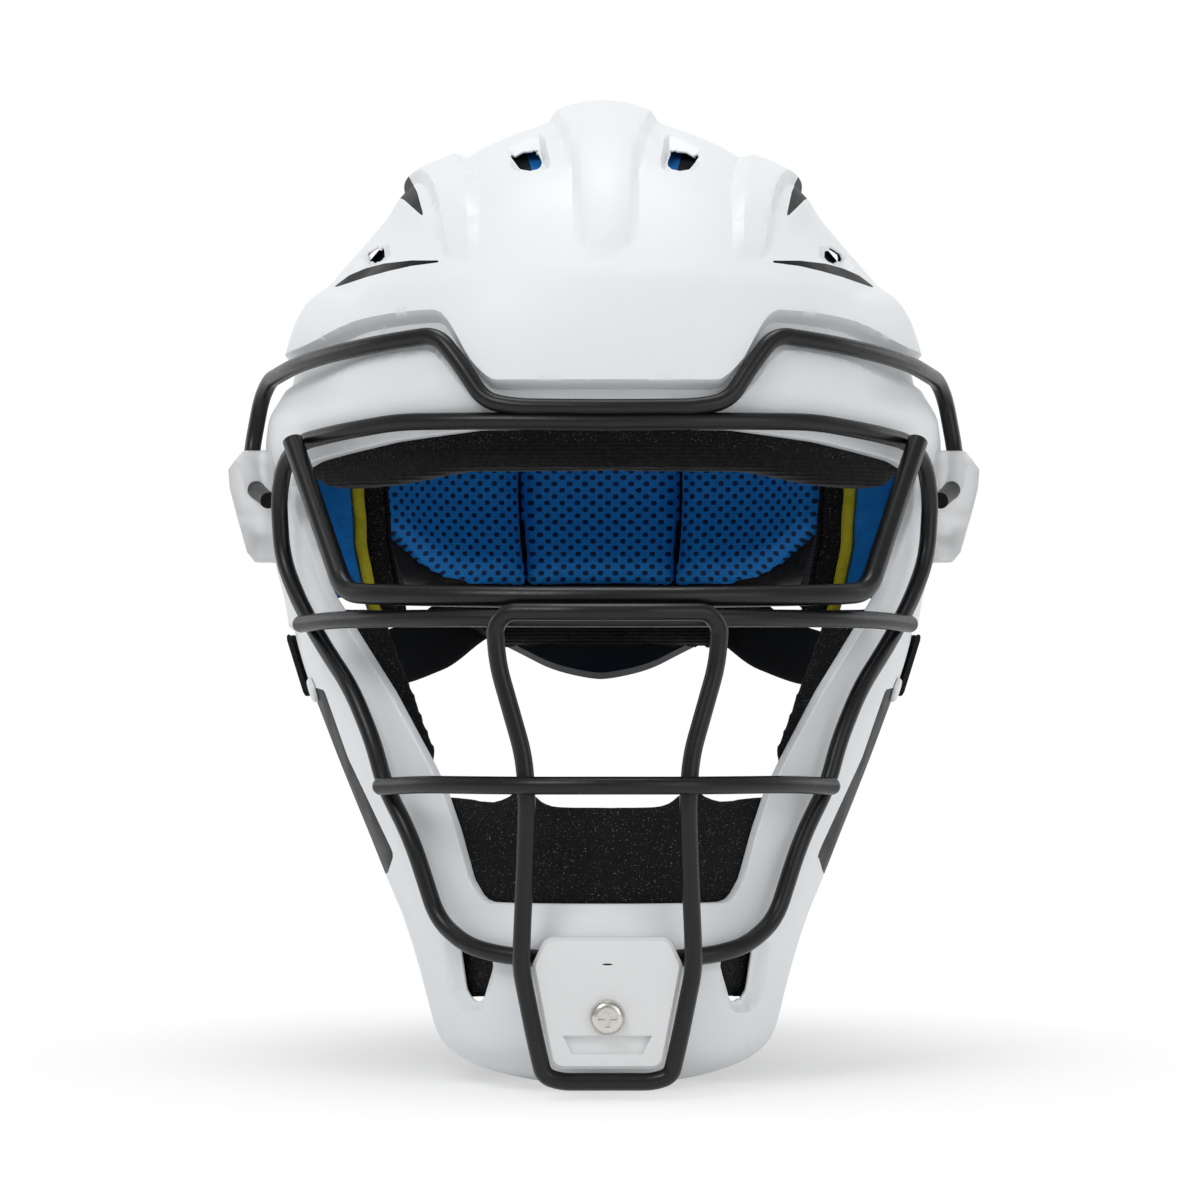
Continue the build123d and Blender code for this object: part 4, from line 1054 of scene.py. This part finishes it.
def tinted(piece, materials, rule):
    """Gives the faces of a finished pad their materials, by a rule on their middles in millimetres."""
    piece.data.materials.clear()
    for material in materials:
        piece.data.materials.append(material)
    middles = np.array([polygon.center for polygon in piece.data.polygons]) / metre - home
    piece.data.polygons.foreach_set("material_index", rule(middles).astype(np.int32))
    piece.data.update()


def settled(piece, node, body=helmet):
    """Puts a soft piece on its body and hides the CAD node that it stands for."""
    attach(piece, body)
    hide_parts(node)


def material(*names):
    return [finishes[name].material for name in names]


# Gaps and thicknesses of the pads, as in the solids but for the pads' crowned faces
liner_gap, soft_gap = 0.9, 0.3
brow_wall, chin_wall, jaw_wall, plate_pad_wall = 15.5, 11.0, 11.5, 7.5
crown_foam_wall, crown_pad_wall = 12.0, 5.5
back_foam_wall, back_liner_wall, mesh_wall = 9.0, 8.8, 6.6
plate_gap, plate_wall = 3.0, 3.0
jaw_pad_gap = 1.5
fabric_voxel = 2.2


def cushion(name, node, grid, depth, wall, rim_share, edge, finish, cap=1.0, evened=2, body=helmet):
    """A fabric cushion: its plain form, the simulated swell of its cover and a little smoothing."""
    piece = pad_solid(name, grid, depth, wall, rim_share, edge, material(finish))
    inflated(piece, fabric_voxel, cap)
    smoothed(piece, 0.5, evened)
    settled(piece, node, body)


def brow_pad():
    """The pad along the brow: knit wrapped under it, cut foam showing along its top."""
    low = smooth_curve([
        (0.0, 0.608), (0.35, 0.606), (0.62, 0.593), (0.82, 0.589), (0.95, 0.597), (1.0, 0.612),
    ])
    top = smooth_curve([(0.0, 0.700), (0.6, 0.690), (1.0, 0.640)])
    grid = band_grid(-70, 70, 70, low, top, 22, 90, -1)
    piece = pad_solid("brow_cushion", grid, shell_wall + liner_gap, brow_wall, 0.45, 9, material("knit"))
    inflated(piece, fabric_voxel, 1.2)
    smoothed(piece, 0.5, 3)

    def is_foam(p):
        fold = 0.629 - 0.03 * (p[:, 0] / shell_half_width) ** 2
        return p[:, 2] > fold * shell_height

    tinted(piece, material("knit", "sparkle_foam"), is_foam)
    settled(piece, "brow_pad")


def chin_cushion():
    top = smooth_curve([
        (0.0, 0.283), (0.22, 0.285), (0.32, 0.300), (0.42, 0.288), (0.50, 0.286), (0.72, 0.284), (1.0, 0.270),
    ])
    low = smooth_curve([(0.0, 0.112), (0.25, 0.112), (0.45, 0.088), (1.0, 0.086)])
    grid = band_grid(-43, 43, 43, low, top, 26, 60, -1)
    depth = shell_wall + liner_gap
    cushion("chin_cushion", "chin_pad", grid, depth, chin_wall, 0.6, 7, "sparkle_foam")


def jaw_cushions():
    front = smooth_curve([(0.315, -0.870), (0.38, -0.775), (0.42, -0.71), (0.462, -0.64)])
    rear = smooth_curve([(0.315, -0.34), (0.38, -0.30), (0.42, -0.27), (0.462, -0.22)])
    for name, side in (("left", -1), ("right", 1)):
        grid = side_grid(side, front, rear, (0.315, 0.462), 24, 30)
        cushion(f"jaw_cushion_{name}", f"jaw_pad_{name}", grid, shell_wall + jaw_pad_gap, jaw_wall,
                0.85, 4, "sparkle_foam")


side_foam_front, lining_fold = -0.335 * shell_half_length, 1.6


def side_layers():
    """The foam at the temples, layer on layer, with their cut ends to the front."""
    front, rear = held(side_foam_front / shell_half_length), held(0.20)
    for name, side in (("left", -1), ("right", 1)):
        depth = shell_wall + liner_gap
        for part, wall, finish, low in (
            ("outer", 19.5, "blue_foam", 0.468), ("middle", 3.6, "yellow_foam", 0.446),
            ("inner", 6.2, "sparkle_foam", 0.440), ("lining", 1.0, "lining", 0.434),
        ):
            grid = side_grid(side, front, rear, (low, 0.655), 20, 40)
            piece = pad_solid(f"temple_{part}_{name}", grid, depth, wall, 0.93, 1.2, material(finish))
            if part == "lining":
                tinted(piece, material("knit", "lining"), lambda p: p[:, 1] < side_foam_front + lining_fold)
            node = f"side_foam_{part}_{name}"
            settled(piece, node)
            depth += wall + soft_gap


def crown_layers():
    """The foam in the dome, blue under its middle, and the comfort pad under it."""
    depth = shell_wall + liner_gap
    piece = pad_solid("crown_liner", dome_grid(78, 60), depth, crown_foam_wall, 0.9, 3, material("dark_foam"))
    blue_half = 0.215 * shell_half_width
    tinted(piece, material("dark_foam", "blue_foam"), lambda p: np.abs(p[:, 0]) < blue_half)
    settled(piece, "crown_foam")
    depth += crown_foam_wall + soft_gap
    piece = pad_solid("crown_cushion", dome_grid(48, 40), depth, crown_pad_wall, 0.5, 14, material("mesh"))
    inflated(piece, 3.0, 1.0)
    settled(piece, "crown_pad")


def back_panels():
    """Blue mesh panels over the back of the head, sewn to black foam."""
    low = smooth_curve([(0.0, 0.478), (0.6, 0.480), (1.0, 0.500)])
    grid = band_grid(-62, 62, 62, low, held(0.690), 24, 60)
    depth = shell_wall + liner_gap
    piece = pad_solid("back_liner", grid, depth, back_liner_wall, 0.9, 2, material("dark_foam"))
    settled(piece, "back_foam")
    low = smooth_curve([
        (0.0, 0.468), (0.5, 0.470), (0.68, 0.480), (0.78, 0.496), (0.94, 0.532), (1.0, 0.552),
    ])
    depth += back_foam_wall + soft_gap
    seam, reach, seam_overlap = 17, 56, 1.2
    lap = math.degrees(seam_overlap / shell_half_length) / 2
    for name, first, last in (("left", -reach, lap - seam), ("middle", -seam - lap, seam + lap),
                              ("right", seam - lap, reach)):
        grid = band_grid(first, last, reach, low, held(0.70), 40, 36)
        cushion(f"mesh_panel_{name}", f"back_mesh_{name}", grid, depth, mesh_wall, 0.4, 10, "mesh",
                cap=1.2, evened=3)


def plate_cushion():
    grid = band_grid(-30, 30, 30, held(0.402), held(0.468), 16, 50)
    depth = shell_wall + plate_gap + plate_wall + soft_gap
    cushion("plate_cushion", "back_plate_pad", grid, depth, plate_pad_wall, 0.5, 6, "knit",
            body=plate_group)


strap_width, strap_wall, strap_lift = 21.0, 1.6, 0.7
tape_width, tape_wall, tape_gap = 20.0, 0.9, 0.15
on_shell, on_plate = 2 * tape_gap + tape_wall, strap_lift - shell_wall - plate_gap


def ribbon(name, centres, ups, outs, width, wall, finish):
    """A webbing band along a run of points, with rounded selvages."""
    section = [(-0.5 + i / 12, 1.0) for i in range(1, 12)]
    section = [(-0.5, 0.35), (-0.48, 0.8)] + section + [(0.48, 0.8), (0.5, 0.35), (0.48, 0.1)]
    section += [(0.5 - i / 12, 0.0) for i in range(1, 12)] + [(-0.48, 0.1)]
    rings = [centres + ups * (across * width) + outs * (rise * wall) for across, rise in section]
    vertices = np.stack(rings, 1)
    rows, columns = vertices.shape[:2]
    index = np.arange(rows * columns).reshape(rows, columns)
    a, b = index[:-1], index[1:]
    faces = np.stack([a, np.roll(a, -1, 1), np.roll(b, -1, 1), b], -1).reshape(-1, 4)
    piece = new_mesh(name, in_frame(vertices.reshape(-1, 3)), faces, material(finish))
    closed(piece, fill=True)
    crease(piece, 40)
    return piece


def run_round(side, turns, heights):
    """Points, outward normals and upward directions along a band round one side of the shell."""
    points, normals = cast(*round_middle(side * turns, heights))
    ups = np.cross(normals, np.gradient(points, axis=0))
    return points, normals, ups / np.linalg.norm(ups, axis=1, keepdims=True)


def side_straps():
    """Webbing from the hook patches on the jaw back to the outside of the back plate."""
    height = smooth_curve([(30.0, 0.450), (45.0, 0.416), (60.0, 0.406), (90.0, 0.408), (119.0, 0.411)])
    turns, patch_turns = np.linspace(30, 119, 60), np.linspace(101, 117, 12)
    lift = on_plate + (on_shell - on_plate) * ramp((turns - 40) / (92 - 40))
    for name, side in (("left", -1), ("right", 1)):
        points, normals, ups = run_round(side, turns, height(turns))
        centres = points + normals * lift[:, None]
        piece = ribbon(f"side_webbing_{name}", centres, ups, normals, strap_width, strap_wall, "webbing")
        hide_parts(f"side_strap_{name}")
        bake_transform(piece)
        points, normals, ups = run_round(side, patch_turns, height(patch_turns))
        centres = points + normals * tape_gap
        patch = ribbon(f"hook_tape_{name}", centres, ups, normals, tape_width, tape_wall, "hook")
        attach(patch, helmet)
        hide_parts(f"hook_patch_{name}")


def top_webbing():
    """Webbing from the back of the shell down to the back plate."""
    for name, node, low, high, width, wall, finish in (
        ("top_webbing", "top_strap", 0.468, 0.668, strap_width, strap_wall, "webbing"),
        ("top_hook_tape", "hook_patch_top", 0.590, 0.655, tape_width, tape_wall, "hook"),
    ):
        shares = np.linspace(low, high, 40)
        points, normals = cast(*round_middle(np.zeros(len(shares)), shares))
        lift = on_plate + (on_shell - on_plate) * ramp((shares - 0.500) / 0.022)
        if name != "top_webbing":
            lift = np.full(len(shares), tape_gap)
        ups = np.broadcast_to([1.0, 0.0, 0.0], points.shape)
        piece = ribbon(name, points + normals * lift[:, None], ups, normals, width, wall, finish)
        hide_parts(node)
        if name == "top_webbing":
            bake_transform(piece)
        else:
            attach(piece, helmet)


stage()
camera()
bpy.context.scene.view_settings.view_transform = "Standard"
dress_nodes()
shell_piece(material("shell", "accent", "inside"))
brow_pad()
chin_cushion()
jaw_cushions()
side_layers()
crown_layers()
back_panels()
plate_cushion()
side_straps()
top_webbing()

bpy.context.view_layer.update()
